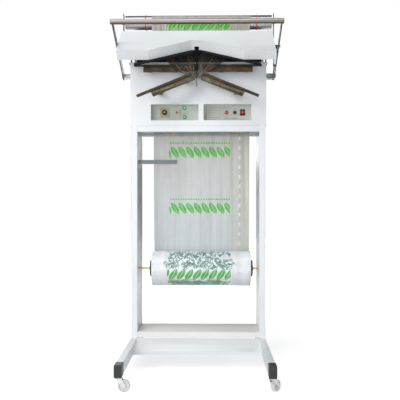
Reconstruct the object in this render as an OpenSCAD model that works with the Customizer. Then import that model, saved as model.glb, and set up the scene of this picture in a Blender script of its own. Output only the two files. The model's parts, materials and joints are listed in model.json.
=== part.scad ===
// Stand-mounted impulse heat sealer for bagging hanging goods.
// X runs across the machine, Y from the operator to the back, Z up from the floor.
// Most pieces are written from the front plane of the columns, which on_frame() sets back.

/* [Base] */
// Length of each leg tube
leg_len = 802; // [700:2:900]
// Width of the leg and column tubes
tube_w = 30; // [25:1:40]
// Height of the leg tube
leg_h = 50; // [40:1:60]
// Height of the leg's underside above the floor
leg_z = 65; // [63:1:80]
// Wall of the square tubes
tube_wall = 2; // [1.5:0.5:3]
// Outer corner radius of the square tubes
tube_corner = 3; // [2.5:0.5:4]
// Distance between the inner faces of the legs
bay_w = 610; // [560:5:680]
// Depth that a leg end cap covers
cap_len = 52; // [30:2:70]
// Wall of a leg end cap
cap_wall = 1.85; // [1.5:0.05:3]
// Clearance between a cap and its tube
cap_fit = 0.15; // [0.1:0.05:0.3]

/* [Casters] */
// Diameter of a caster wheel
wheel_d = 50; // [40:1:50]
// Width of a caster wheel
wheel_w = 20; // [16:1:24]
// Sideways offset of a wheel behind its stem
trail = 22; // [18:1:26]
// Diameter of a wheel axle
axle_d = 8; // [6:0.5:10]
// Diameter of the caster stem
stem_d = 10; // [8:1:12]
// Distance from the leg's end to the caster stem
stem_in = 26; // [22:1:40]
// Radial running clearance of every shaft
run_fit = 0.05; // [0.03:0.01:0.09]
// Gap left between pieces that move past each other
gap = 0.4; // [0.3:0.05:0.8]

/* [Stand] */
// Distance of the columns' back face in front of the legs' rear ends
rear_reach = 54; // [20:2:100]
// Depth of a column
col_d = 217; // [180:1:260]
// Height of the cabinet's underside
cab_z = 1177; // [1000:5:1300]
// Height of the cross beams under the cabinet
beam_h = 30; // [20:1:40]
// Height of the shelf's top face
shelf_z = 145; // [135:1:220]
// Height of the shelf's front edge
shelf_edge = 27; // [15:1:30]
// Thickness of the shelf and foot plate sheet
sheet_t = 2; // [1.5:0.5:3]
// Reach of the sloping foot plate
foot_reach = 150; // [80:2:200]
// Drop of the foot plate over its reach
foot_drop = 33; // [20:1:34]
// Height of the foot plate's front flange
foot_flange = 16; // [10:1:20]
// Length of the rest bar on the left column
rest_len = 197; // [100:1:240]
// Height of the rest bar above the floor
rest_z = 988; // [700:2:1100]

/* [Cabinet] */
// Width of the cabinet
cab_w = 680; // [640:2:720]
// Height of the cabinet
cab_h = 316; // [300:2:360]
// Overhang of the cabinet's lid
lid_over = 5; // [2:1:8]
// Depth of the lid's skirt
lid_skirt = 10; // [6:1:16]
// Depth of the lid from the front
lid_d = 88; // [70:1:95]
// Depth that the control panels are set back
recess = 50; // [40:1:58]
// Width of a control window
win_w = 241; // [238:1:246]
// Height of a control window
win_h = 83.5; // [80:0.5:90]
// Height of the windows' lower edge above the cabinet's underside
win_z = 25.5; // [20:0.5:30]
// Left edge of the left window
win_left = -238.5; // [-242:0.5:-236]
// Distance from the left window's edge to the right window's
win_pitch = 264; // [262:1:268]
// Width of the frame round a window
win_frame = 8; // [5:0.5:9]

/* [Head] */
// Height of the head's hinge axis
hinge_z = 1445; // [1430:1:1450]
// Distance of the hinge axis behind the cabinet's front
hinge_y = 104; // [95:1:110]
// Diameter of the hinge pins
hinge_d = 12; // [10:1:14]
// Angle that the head closes through
close_angle = 30; // [28:0.5:32]
// Slope of the open hood
hood_angle = 39.05; // [38:0.05:40]
// Distance of the hood's front edge in front of the cabinet
hood_y = 180; // [178:1:182]
// Height of the hood's front edge when open
hood_z = 1509; // [1507:1:1511]
// Distance from an arm's middle plane to the hood's side, before the hood's sideways set
hood_gap = 12.5; // [12.5:0.5:28]
// Sideways set of the hood, which leaves room for the gas spring
hood_set = -7; // [-8:0.5:-6]
// Depth of the hood along its slope
hood_len = 223; // [215:1:232]
// Depth of the hood's lips
lip = 50; // [45:1:50]
// Depth of the hood's short back lip
back_lip = 8; // [5:1:10]
// Rise of the chevron along the hood's slope
chevron = 108; // [100:1:110]
// Half the width of the chevron's mouth
chevron_half = 226; // [200:1:240]
// Half the flat top of the chevron
chevron_top = 24; // [22:0.5:28]
// Thickness of the hood's sheet
hood_t = 2; // [1.5:0.5:2.5]
// Distance from the cabinet's side to an arm's middle plane
arm_reach = 48.5; // [48:0.5:49]
// Thickness of the side arms
arm_t = 5; // [4:0.5:6]
// Height of an arm at the hinge
arm_root = 36; // [30:1:40]
// Height of an arm at the handle
arm_tip = 24; // [18:1:26]
// Distance of the handle tube in front of the cabinet
handle_y = 260; // [240:2:280]
// Height of the handle tube when open
handle_z = 1618; // [1600:1:1630]
// Diameter of the handle tube
handle_d = 25; // [22:1:28]
// Length of the handle tube past an arm's middle plane
handle_over = 6.5; // [4.5:0.5:7.5]

/* [Jaws] */
// Slope of the jaws in the hood's plane, as fall over run
jaw_slope = 0.474; // [0.46:0.002:0.49]
// Half the gap between the two jaws
jaw_gap = 15; // [13:0.5:18]
// Half the reach of the sealing strips
jaw_half = 295; // [280:1:300]
// Half the reach of the jaw bars
bar_half = 231; // [210:1:240]
// Width of a sealing strip
strip_w = 13; // [10:0.5:16]
// Width of a jaw bar
bar_w = 40; // [36:1:44]
// Thickness of a jaw bar
bar_t = 3; // [2:0.5:4]
// Thickness of a sealing strip
strip_t = 6; // [5:0.5:8]
// Thickness of an upper jaw with its heater
jaw_t = 8; // [7:0.5:9]
// Gap between the closed jaws
jaw_nip = 0.5; // [0.4:0.1:1.5]
// Distance of the guide bars in front of the cabinet
guide_y = 60; // [56:1:62]
// Half the reach of the guide bars
guide_half = 268; // [250:1:280]
// Half the reach of the guide strips
guide_strip_half = 313; // [290:1:320]

/* [Gas spring] */
// Distance of the arm's stud in front of the cabinet
stud_y = 104; // [102:0.5:106]
// Height of the arm's stud when open
stud_z = 1544; // [1543:0.5:1545]
// Distance of the anchor stud behind the cabinet's front
anchor_y = 40; // [39:0.5:41]
// Height of the anchor stud
anchor_z = 1420; // [1419:0.5:1421]
// Diameter of the gas spring's cylinder
gas_d = 14; // [12:0.5:14]
// Length of the cylinder below its eye
gas_len = 96; // [90:1:100]
// Diameter of the gas spring's rod
rod_d = 7; // [6:0.5:8]
// Diameter of the two studs
stud_d = 6; // [5:0.5:7]

/* [Film] */
// Diameter of the top roller
roller_d = 70; // [60:1:74]
// Length of the top roller past the cabinet's side
roller_over = 31; // [20:1:32]
// Sideways set of the film from the machine's middle
film_set = 14; // [0:1:16]
// Distance of the roller's axis behind the cabinet's front
roller_y = 60; // [56:1:62]
// Height of the roller's axis
roller_z = 1710; // [1700:1:1720]
// Diameter of the roller's shaft
shaft_d = 12; // [10:1:14]
// Diameter of the full film roll
roll_d = 179; // [120:1:185]
// Width of the brackets that carry the top roller
bracket_w = 30; // [24:1:34]
// Width of the film
film_w = 500; // [440:2:520]
// Thickness that stands for the film
film_t = 0.8; // [0.6:0.1:1]
// Diameter of the cardboard core
core_d = 46; // [40:1:56]
// Diameter of the roll's axle rod
rod_axle = 10; // [8:1:12]
// Distance of the roll's axle behind the columns' front
axle_y = 90; // [80:1:100]
// Height of the roll's axle
axle_z = 455; // [350:5:600]
// Diameter of the flanges that hold the core
flange_d = 83; // [70:1:100]
// Gap between the film's edge and a rubber ring's middle on the roller
ring_gap = 31; // [10:1:40]
// Distance that the film's upright run stands behind the roll's axle at the roll
roll_gap = 0.5; // [0.3:0.1:1]

/* [Controls] */
// Width and height of the timer's plate
timer_w = 48; // [44:1:52]
// Diameter of the timer's knob
knob_d = 27; // [24:0.5:30]
// Diameter of the lamps' bezels
lamp_d = 20; // [18:0.5:22]
// Width of the rocker switch
rocker_w = 25.5; // [22:0.5:28]
// Height of the rocker switch
rocker_h = 31.5; // [28:0.5:34]
// Diameter of the fuse holder
fuse_d = 18; // [16:0.5:20]

/* [Hidden] */
$fn = 64;
eps = 0.01;

col_y = leg_len / 2 - col_d - rear_reach;
inner_x = bay_w / 2;
outer_x = inner_x + tube_w;
col_x = inner_x + tube_w / 2;
leg_top = leg_z + leg_h;
cap_out = cap_wall + cap_fit;
stem_y = leg_len / 2 - stem_in;
plate_z = leg_z - cap_out;
cab_top = cab_z + cab_h;
cab_half = cab_w / 2;
axle_height = wheel_d / 2;
fork_plate_t = 2.5;
fork_plate_z = plate_z - 8;
fork_t = 2;
fork_in = wheel_w / 2 + 1;
head_r = 7.5;
win_low = cab_z + win_z;
panel_t = 1.5;
shell_t = 1.5;
frame_proud = 1;
jaw_angle = atan(jaw_slope);
arm_slope = atan2(handle_z - hinge_z, handle_y + hinge_y);
arm_len = norm([handle_z - hinge_z, handle_y + hinge_y]);
arm_x = cab_half + arm_reach;
hood_half = arm_x - hood_gap;
handle_half = arm_x + handle_over;
roller_half = cab_half + roller_over;
arm_in = arm_x - arm_t / 2;
arm_out = arm_x + arm_t / 2;
gas_span = norm([stud_z - anchor_z, stud_y + anchor_y]);
gas_slope = atan2(stud_z - anchor_z, stud_y + anchor_y);
gas_x = arm_in - 1.5 - gas_d / 2;
eye_play = 2.6;
end_x = handle_half + 3;
hub_x = film_w / 2;
core_wall = 3;
web_top = roller_y + roller_d / 2 + gap;
web_foot = axle_y + roll_d / 2 + roll_gap;
bracket_x = roller_half + 8;
bracket_bend = max(roller_z - 160, cab_top + 6);
film_mid = hinge_z + 63 + 0.455 * (roller_z - hinge_z - 63);
guard_y = 200;
guard_top = cab_top + 167;
nip_n = lip + jaw_t + jaw_nip;
rod_x = -6;
rod_y = -59;
panel_y = recess;
green_x = -70;
red_x = 143;
fuse_x = 185;
rocker_x = 224;
toggle_x = -110;
timer_x = -172;
ctrl_z = 1250;
green_zs = [1274.5, 1227];
rest_y = 40;
casters = [[-1, -1, 0], [1, -1, 48], [-1, 1, -20], [1, 1, 200]];

// Places a piece that is written from the columns' front plane
module on_frame() translate([0, col_y, 0]) children();

// Copies a piece onto both sides of the machine
module both_sides() for (side = [-1, 1]) scale_x(side) children();
module scale_x(side) mirror([side < 0 ? 1 : 0, 0, 0]) children();

// A rectangle with round corners, built from exact arcs
module round_rect(w, h, r)
{
    square([w - 2 * r, h], center = true);
    square([w, h - 2 * r], center = true);
    for (x = [-1, 1], y = [-1, 1])
        translate([x * (w / 2 - r), y * (h / 2 - r)])
            circle(r);
}

// A square tube's section
module tube_section(w, h, wall, r) difference()
{
    round_rect(w, h, r);
    round_rect(w - 2 * wall, h - 2 * wall, r - wall);
}

// A cylinder along Y that starts at y0 and runs back
module rod_y(d, y0, len) translate([0, y0, 0]) rotate([-90, 0, 0]) cylinder(d = d, h = len);

// A cylinder along X from x0 to x1
module rod_x(d, x0, x1) translate([x0, 0, 0]) rotate([0, 90, 0]) cylinder(d = d, h = x1 - x0);

// A hexagonal nut or bolt head along X
module hex_x(across, x0, len)
    translate([x0, 0, 0]) rotate([0, 90, 0]) cylinder(d = across / cos(30), h = len, $fn = 6);

// ---------------------------------------------------------------- base

module legs() color("white") both_sides() difference()
{
    translate([col_x, leg_len / 2, leg_z + leg_h / 2])
        rotate([90, 0, 0])
            linear_extrude(leg_len)
                tube_section(tube_w, leg_h, tube_wall, tube_corner);
    for (end = [-1, 1])
        translate([col_x, end * stem_y, leg_z - 1])
            cylinder(d = stem_d + 2 * run_fit, h = tube_wall + 2);
}

module leg_caps() color("#202224") both_sides() for (end = [-1, 1])
    translate([col_x, end * (leg_len / 2 + cap_wall), leg_z + leg_h / 2])
        rotate([0, 0, end > 0 ? 180 : 0])
            difference()
            {
                cap_form(tube_w + 2 * cap_out, leg_h + 2 * cap_out, cap_len, tube_corner + cap_out);
                translate([0, cap_wall, 0])
                    cap_form(tube_w + 2 * cap_fit, leg_h + 2 * cap_fit, cap_len, tube_corner);
                translate([0, stem_in + cap_wall, -leg_h])
                    cylinder(d = stem_d + 2 * run_fit, h = leg_h);
            }

module cap_form(w, h, len, r)
    translate([0, len, 0]) rotate([90, 0, 0]) linear_extrude(len) round_rect(w, h, r);

// Puts a caster's pieces under its leg end, turned by its swivel angle
module at_caster(place)
    translate([place[0] * col_x, place[1] * stem_y, 0]) rotate([0, 0, place[2]]) children();

module caster_stems() color("silver") for (place = casters) at_caster(place)
{
    translate([0, 0, fork_plate_z + fork_plate_t + gap])
        cylinder(d = 30, h = plate_z - fork_plate_z - fork_plate_t - gap);
    translate([0, 0, fork_plate_z - gap])
        cylinder(d = stem_d, h = leg_z + tube_wall + 9 - fork_plate_z);
    translate([0, 0, fork_plate_z - gap - 3])
        cylinder(r = head_r, h = 3);
    translate([0, 0, leg_z + tube_wall])
        cylinder(d = 17 / cos(30), h = 7, $fn = 6);
}

module caster_fork(place) color("#c8ccd0") at_caster(place)
{
    difference()
    {
        union()
        {
            translate([0, 0, fork_plate_z])
                cylinder(d = 32, h = fork_plate_t);
            for (side = [-1, 1])
                translate([0, side * (fork_in + fork_t / 2) + fork_t / 2, 0])
                    rotate([90, 0, 0])
                        linear_extrude(fork_t)
                            fork_cheek();
        }
        translate([0, 0, fork_plate_z - 1])
            cylinder(d = stem_d + 2 * run_fit, h = fork_plate_t + 2);
        translate([trail, 0, axle_height])
            rod_y(axle_d + 2 * run_fit, -fork_in - 5, 2 * fork_in + 10);
    }
    translate([trail, 0, axle_height])
    {
        rod_y(axle_d, -fork_in - fork_t - 1, 2 * (fork_in + fork_t + 1));
        for (side = [-1, 1])
            translate([0, side * (fork_in + fork_t + 2) - 2, 0])
                rotate([-90, 0, 0])
                    cylinder(d = 13 / cos(30), h = 4, $fn = 6);
    }
}

// A fork's cheek, which narrows from the plate to the axle
module fork_cheek()
{
    top = fork_plate_z + fork_plate_t;
    polygon([[-12, top], [13, top], [trail + 8, axle_height + 3], [trail - 7, axle_height - 4]]);
    translate([trail, axle_height])
        circle(8);
}

module caster_wheel(place) color("#f2f2ef") at_caster(place)
    translate([trail, 0, axle_height]) rotate([90, 0, 0]) rotate_extrude() wheel_section();

// Half of a wheel's section: hub, thin web and crowned tread
module wheel_section()
{
    bore = axle_d / 2 + run_fit;
    rim = wheel_d / 2;
    difference()
    {
        polygon([[bore, -wheel_w / 2], [rim - 2.5, -wheel_w / 2], [rim, -wheel_w / 2 + 3],
                 [rim, wheel_w / 2 - 3], [rim - 2.5, wheel_w / 2], [bore, wheel_w / 2]]);
        for (side = [-1, 1])
            translate([(bore + rim) / 2, side * wheel_w / 2])
                polygon([[-4.5, side], [4.5, side], [3, -side * 5], [-3, -side * 5]]);
    }
}

module caster_fork_fl() caster_fork(casters[0]);
module caster_fork_fr() caster_fork(casters[1]);
module caster_fork_rl() caster_fork(casters[2]);
module caster_fork_rr() caster_fork(casters[3]);
module caster_wheel_fl() caster_wheel(casters[0]);
module caster_wheel_fr() caster_wheel(casters[1]);
module caster_wheel_rl() caster_wheel(casters[2]);
module caster_wheel_rr() caster_wheel(casters[3]);

// ---------------------------------------------------------------- stand

module columns() color("white") on_frame() both_sides() difference()
{
    union()
    {
        translate([col_x, col_d / 2, leg_top])
            linear_extrude(cab_z - leg_top)
                tube_section(tube_w, col_d, tube_wall, tube_corner);
        // cleat that carries the shelf
        translate([inner_x - 38, 6, shelf_z - sheet_t - 3])
            cube([38, col_d - 12, 3]);
        translate([inner_x - 3, 6, shelf_z - sheet_t - 22])
            cube([3, col_d - 12, 20]);
    }
    for (y = shelf_bolt_ys())
        translate([inner_x - 25, y, shelf_z - 30])
            cylinder(d = 6.1, h = 40);
    translate([0, axle_y, axle_z])
        rod_x(rod_axle + 2 * run_fit, inner_x - 5, inner_x + 10);
}

function shelf_bolt_ys() = [25, col_d - 52];

module cross_beams() color("white") on_frame()
{
    for (y = [0, col_d - tube_w])
        translate([-inner_x, y + tube_w / 2, cab_z - beam_h / 2])
            rotate([90, 0, 90])
                linear_extrude(bay_w)
                    tube_section(tube_w, beam_h, tube_wall, tube_corner);
}

module shelf_tray() color("#e9e8e4") on_frame() difference()
{
    translate([-inner_x + gap, 0, shelf_z - shelf_edge])
        cube([bay_w - 2 * gap, col_d, shelf_edge]);
    translate([-inner_x, sheet_t, shelf_z - shelf_edge - 1])
        cube([bay_w, col_d - 2 * sheet_t, shelf_edge - sheet_t + 1]);
    for (x = [-1, 1], y = shelf_bolt_ys())
        translate([x * (inner_x - 25), y, shelf_z])
        {
            translate([0, 0, -10])
                cylinder(d = 6.1, h = 20);
            translate([0, 0, -sheet_t])
                cylinder(d1 = 6.1, d2 = 6.1 + 2 * sheet_t, h = sheet_t);
        }
}

module shelf_bolts() color("#8a8f94") on_frame() for (x = [-1, 1], y = shelf_bolt_ys())
    translate([x * (inner_x - 25), y, shelf_z])
    {
        difference()
        {
            union()
            {
                translate([0, 0, -sheet_t])
                    cylinder(d1 = 6, d2 = 5.8 + 2 * sheet_t, h = sheet_t - 0.1);
                translate([0, 0, -14])
                    cylinder(d = 6, h = 14 - sheet_t);
            }
            translate([0, 0, -3])
                cylinder(d = 4 / cos(30), h = 4, $fn = 6);
        }
        translate([0, 0, -sheet_t - 3 - 5])
            cylinder(d = 10 / cos(30), h = 5, $fn = 6);
    }

module foot_plate() color("#f1f2f2") on_frame()
{
    top = leg_top;
    low = leg_top - foot_drop;
    translate([-inner_x, 0, 0])
        rotate([90, 0, 90])
            linear_extrude(bay_w)
                polygon([[0, top], [-foot_reach, low], [-foot_reach, low - foot_flange],
                         [-foot_reach + sheet_t, low - foot_flange],
                         [-foot_reach + sheet_t, low - sheet_t],
                         [-sheet_t, top - sheet_t - 1], [-sheet_t, top - 16], [0, top - 16]]);
}

module rest_bar() color("#6a7a8c") on_frame()
{
    translate([-inner_x, rest_y, rest_z])
        cube([rest_len, 4, 21]);
    translate([-inner_x, rest_y + 4, rest_z])
        cube([4, 26, 21]);
}

// ---------------------------------------------------------------- cabinet

module cabinet_shell() color("white") on_frame() difference()
{
    union()
    {
        translate([-cab_half, 0, cab_z])
            difference()
            {
                cube([cab_w, col_d - shell_t, cab_h]);
                translate([shell_t, shell_t, -1])
                    cube([cab_w - 2 * shell_t, col_d, cab_h + 2]);
            }
        lid();
        for (side = [-1, 1])
            translate([side * (cab_half - 12) - 12, 0, cab_z])
                cube([24, col_d - shell_t, shell_t]);
    }
    for (i = [0, 1])
        translate([win_left + i * win_pitch, -1, win_low])
            cube([win_w, shell_t + 2, win_h]);
}

// Lid over the front of the cabinet, with a short skirt
module lid() difference()
{
    translate([-cab_half - lid_over, -lid_over, cab_top - lid_skirt])
        cube([cab_w + 2 * lid_over, lid_d + lid_over, lid_skirt]);
    translate([-cab_half - lid_over + shell_t, -lid_over + shell_t, cab_top - lid_skirt - 1])
        cube([cab_w + 2 * lid_over - 2 * shell_t, lid_d + lid_over, lid_skirt + 1 - shell_t]);
    both_sides()
        translate([cab_half, roller_y - bracket_w / 2 - gap, cab_top - lid_skirt - 1])
            cube([lid_over + 1, bracket_w + 2 * gap, lid_skirt + 2]);
}

module back_cover() color("#f4f4f4") on_frame() difference()
{
    translate([-cab_half, col_d - shell_t, cab_z])
        cube([cab_w, shell_t, cab_h]);
    translate([inlet_x(), col_d - 10, inlet_z()])
        cube([28, 20, 20], center = true);
    for (i = [0 : 7])
        translate([-60, col_d - 5, cab_z + 90 + i * 14])
            cube([120, 10, 5]);
}

function inlet_x() = cab_half - 80;
function inlet_z() = cab_z + 50;

module rear_guard() color("white") on_frame()
{
    difference()
    {
        translate([-cab_half, guard_y - 40, cab_top])
            cube([cab_w, 40, guard_top - cab_top]);
        translate([-cab_half + shell_t, guard_y - 41, cab_top - 1])
            cube([cab_w - 2 * shell_t, 41 - shell_t, guard_top - cab_top + 2]);
    }
}

module guard_liner() color("#27403f") on_frame()
    translate([-cab_half + 8, guard_y - shell_t - 1, cab_top])
        cube([cab_w - 16, 1, guard_top - cab_top - 6]);

module power_inlet() color("#1c1c1e") on_frame()
    translate([inlet_x(), col_d, inlet_z()])
        difference()
        {
            union()
            {
                translate([-24, 0, -15])
                    cube([48, 3, 30]);
                translate([-13.8, -18, -9.8])
                    cube([27.6, 18, 19.6]);
            }
            translate([-12, -14, -8])
                cube([24, 20, 16]);
        }

module transformer() color("#55595c") on_frame()
{
    for (x = [-0.34 * cab_w, 0.18 * cab_w])
        translate([x, shell_t, cab_z + 0.57 * cab_h])
        {
            cube([90, 70, 12]);
            translate([10, 4, 12])
                cube([70, 62, 58]);
            translate([22, -0.5 + 4, 20])
                cube([46, 68, 42]);
        }
}

module control_frames() color("white") on_frame() for (i = [0, 1])
    translate([win_left + i * win_pitch, 0, win_low])
        difference()
        {
            union()
            {
                translate([0.3, 0, 0.3])
                    cube([win_w - 0.6, panel_y, win_h - 0.6]);
                translate([-win_frame, -frame_proud, -win_frame])
                    cube([win_w + 2 * win_frame, frame_proud, win_h + 2 * win_frame]);
            }
            translate([shell_t, -5, shell_t])
                cube([win_w - 2 * shell_t, panel_y + 10, win_h - 2 * shell_t]);
        }

module control_panels() color("#a9ab9b") on_frame() difference()
{
    for (i = [0, 1])
        translate([win_left + i * win_pitch + 0.3, panel_y, win_low + 0.3])
            cube([win_w - 0.6, panel_t, win_h - 0.6]);
    translate([timer_x, panel_y, ctrl_z])
        cube([timer_w - 2.8, 10, timer_w - 2.8], center = true);
    for (z = green_zs)
        translate([green_x, 0, z])
            rod_y(lamp_d - 4 + 0.2, panel_y - 5, 10);
    translate([toggle_x, 0, ctrl_z])
        rod_y(12.2, panel_y - 5, 10);
    translate([red_x, 0, ctrl_z])
        rod_y(lamp_d - 4 + 0.2, panel_y - 5, 10);
    translate([fuse_x, 0, ctrl_z])
        rod_y(fuse_d - 4 + 0.2, panel_y - 5, 10);
    translate([rocker_x, panel_y, ctrl_z])
        cube([rocker_w - 3, 10, rocker_h - 3], center = true);
}

// ---------------------------------------------------------------- controls

module timer_body() color("#c9c2a4") on_frame() translate([timer_x, panel_y, ctrl_z]) difference()
{
    union()
    {
        translate([-timer_w / 2, -5, -timer_w / 2])
            cube([timer_w, 5, timer_w]);
        translate([-timer_w / 2 + 1.6, 0, -timer_w / 2 + 1.6])
            cube([timer_w - 3.2, 52, timer_w - 3.2]);
    }
    rod_y(6 + 2 * run_fit, -6, 20);
    translate([-19, -6, 13.5])
        cube([9, 4, 6]);
    translate([0, -5, 0])
        rotate([90, 0, 0])
            rotate_extrude()
                translate([18, 0])
                    square([1.2, 1.2], center = true);
}

module timer_dial() color("#3a4548") on_frame() translate([timer_x, panel_y - 5 - gap, ctrl_z])
{
    difference()
    {
        union()
        {
            rotate([90, 0, 0])
                cylinder(d = knob_d, h = 4);
            rotate([90, 0, 0])
                cylinder(d1 = knob_d - 8, d2 = knob_d - 10, h = 13);
        }
        translate([-1, -14, 2])
            cube([2, 3, 9]);
        for (a = [0 : 30 : 330])
            rotate([0, a, 0])
                translate([knob_d / 2, -5, 0])
                    rod_y(1.6, 0, 6);
    }
    rod_y(6, -1, 18);
}

module toggle_body() color("silver") on_frame() translate([toggle_x, panel_y, ctrl_z]) difference()
{
    union()
    {
        rod_y(12, -9, 9 + panel_t + 1);
        translate([0, -2.5, 0])
            rotate([-90, 0, 0])
                cylinder(d = 15 / cos(30), h = 2.5, $fn = 6);
        translate([-6.5, panel_t, -8])
            cube([13, 22, 16]);
    }
    rod_y(8.6, -10, 14);
    translate([0, -4, 0])
        rod_x(2.4 + 2 * run_fit, -5.3, 5.3);
}

module toggle_lever() color("silver") on_frame() translate([toggle_x, panel_y - 4, ctrl_z])
{
    sphere(r = 3.8);
    rod_x(2.4, -5, 5);
    rotate([90 - 12, 0, 0])
        union()
        {
            cylinder(d1 = 3.2, d2 = 5.4, h = 17);
            translate([0, 0, 17])
                sphere(d = 5.4);
        }
}

module lamp_at(x, z) on_frame() translate([x, panel_y, z]) children();

module lamp_bezels() color("silver")
{
    for (z = green_zs)
        lamp_at(green_x, z) lamp_bezel();
    lamp_at(red_x, ctrl_z) lamp_bezel();
}

module lamp_bezel() difference()
{
    union()
    {
        rotate([90, 0, 0])
            cylinder(d1 = lamp_d, d2 = lamp_d - 2, h = 3);
        rod_y(lamp_d - 4, 0, 24);
    }
    rod_y(lamp_d - 6, -4, 20);
}

module lamp_lens() rotate([90, 0, 0]) rotate_extrude()
{
    square([lamp_d / 2 - 3.2, 3]);
    translate([0, -12])
        square([lamp_d / 2 - 4, 13]);
    intersection()
    {
        translate([0, 3 - 8])
            circle(r = 10.25);
        translate([0, 3 - eps])
            square([lamp_d / 2 - 3.2, 10]);
    }
}

module green_lenses() color("limegreen") for (z = green_zs) lamp_at(green_x, z) lamp_lens();

module red_lens() color("red") lamp_at(red_x, ctrl_z) lamp_lens();

module fuse_holder() color("#1b1c1e") on_frame() translate([fuse_x, panel_y, ctrl_z]) difference()
{
    union()
    {
        rotate([90, 0, 0])
            cylinder(d1 = fuse_d, d2 = fuse_d - 1.5, h = 4);
        rod_y(fuse_d - 4, 0, 32);
    }
    rod_y(10 + 2 * run_fit, -5, 22);
}

module fuse_cap() color("#232427") on_frame() translate([fuse_x, panel_y, ctrl_z])
{
    rod_y(10, -4 - gap, 18);
    difference()
    {
        translate([0, -4 - gap, 0])
            rotate([90, 0, 0])
                cylinder(d1 = fuse_d - 4, d2 = fuse_d - 5.5, h = 6);
        translate([-1, -12, -8])
            cube([2, 3, 16]);
    }
}

module rocker_frame() color("#1b1c1e") on_frame() translate([rocker_x, panel_y, ctrl_z]) difference()
{
    union()
    {
        translate([-rocker_w / 2, -2.5, -rocker_h / 2])
            cube([rocker_w, 2.5, rocker_h]);
        translate([-rocker_w / 2 + 1.6, 0, -rocker_h / 2 + 1.6])
            cube([rocker_w - 3.2, 22, rocker_h - 3.2]);
    }
    translate([-rocker_w / 2 + 3, -5, -rocker_h / 2 + 3])
        cube([rocker_w - 6, 20, rocker_h - 6]);
    translate([0, 6, 0])
        rod_x(3 + 2 * run_fit, -rocker_w / 2 + 2, rocker_w / 2 - 2);
}

module rocker_paddle() color("#d2281e") on_frame()
    translate([rocker_x, panel_y + 6, ctrl_z])
        rotate([-8, 0, 0])
        {
            half = rocker_w / 2 - 3 - gap;
            tall = rocker_h / 2 - 5;
            translate([-half, 0, 0])
                rotate([90, 0, 90])
                    linear_extrude(2 * half)
                        polygon([[2.5, -3], [-7, -tall], [-9, -tall], [-7.2, 0], [-9, tall],
                                 [-7, tall], [2.5, 3]]);
            rod_x(3, -half - gap - 0.6, half + gap + 0.6);
        }

// ---------------------------------------------------------------- jaws

// The hood's own plane when open: x across, y up the slope, z out of the plate
module hood_plane() on_frame() translate([0, -hood_y, hood_z]) rotate([hood_angle, 0, 0]) children();

// The same plane with the head closed
module closed_plane() on_frame()
    translate([0, hinge_y, hinge_z])
        rotate([close_angle, 0, 0])
            translate([0, -hinge_y, -hinge_z])
                translate([0, -hood_y, hood_z])
                    rotate([hood_angle, 0, 0])
                        children();

function jaw_top(x) = chevron - jaw_slope * x;

// Outline of one sloping bar: upright at the gap, square at its outer end
module jaw_outline(from_x, to_x, w, over = 0)
    polygon([[from_x, jaw_top(from_x) + over],
             [to_x, jaw_top(to_x) + over],
             [to_x - w * sin(jaw_angle), jaw_top(to_x) - w * cos(jaw_angle)],
             [from_x, jaw_top(from_x) - w / cos(jaw_angle)]]);

// A flat bar of a closed jaw between two depths behind the hood's plate
module closed_bar(from_x, to_x, w, near_n, far_n)
    closed_plane() both_sides()
        translate([0, 0, -far_n])
            linear_extrude(far_n - near_n)
                jaw_outline(from_x, to_x, w);

module lower_jaws() color("#7a6248")
{
    difference()
    {
        closed_bar(jaw_gap, bar_half, bar_w, nip_n + strip_t, nip_n + strip_t + bar_t);
        for (x = jaw_screw_xs())
            both_sides() jaw_hole(x) cylinder(d = 4.1, h = 40, center = true);
    }
    for (x = [60, 190])
        both_sides() jaw_stay(x);
}

function jaw_screw_xs() = [110, 205];

// A hole or screw in a lower jaw's bar, below the strip
module jaw_hole(x) closed_plane()
    translate([x, jaw_top(x) - 30, -nip_n - strip_t])
        children();

// Stay that carries a lower jaw from the cabinet's front
module jaw_stay(x) intersection()
{
    on_frame()
        translate([x - 12, -160, stay_z(x)])
            cube([24, 160, 14]);
    closed_plane()
        translate([-400, -400, -nip_n - strip_t - bar_t - 200])
            cube([800, 800, 200]);
}

// Height at which a stay meets the back of its jaw bar
function stay_z(x) =
    hinge_z + (hood_z - hinge_z) * cos(close_angle) - (hood_y + hinge_y) * sin(close_angle)
    + (jaw_top(x) - 20) * sin(hood_angle + close_angle) - nip_n * cos(hood_angle + close_angle) - 4;

module lower_strips() color("#6b4a35")
    closed_bar(jaw_gap, jaw_half, strip_w, nip_n, nip_n + strip_t);

module guide_bars() color("#76603f") on_frame() both_sides()
{
    difference()
    {
        translate([22, -guide_y - bar_t, hinge_z - 14])
            cube([guide_half - 22, bar_t, 27]);
        for (x = guide_screw_xs())
            translate([x, 0, hinge_z - 1])
                rod_y(4.1, -guide_y - 10, 20);
    }
    for (x = [105, 230])
        translate([x, -guide_y, hinge_z - 2])
            cube([20, guide_y, 12]);
}

function guide_screw_xs() = [80, 170];

module guide_strips() color("#5d4130") on_frame() both_sides()
    translate([22, -guide_y - strip_t, hinge_z + 13])
        cube([guide_strip_half - 22, strip_t, 9.4]);

module jaw_screws() color("#3b3a36")
{
    for (x = jaw_screw_xs())
        both_sides() jaw_hole(x)
        {
            cylinder(d = 6.5, h = 1.5);
            translate([0, 0, -8])
                cylinder(d = 4, h = 8);
        }
    on_frame() both_sides() for (x = guide_screw_xs())
        translate([x, 0, hinge_z - 1])
        {
            rod_y(6.5, -guide_y - bar_t - 1.5, 1.5);
            rod_y(4, -guide_y - bar_t, 8);
        }
}

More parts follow.
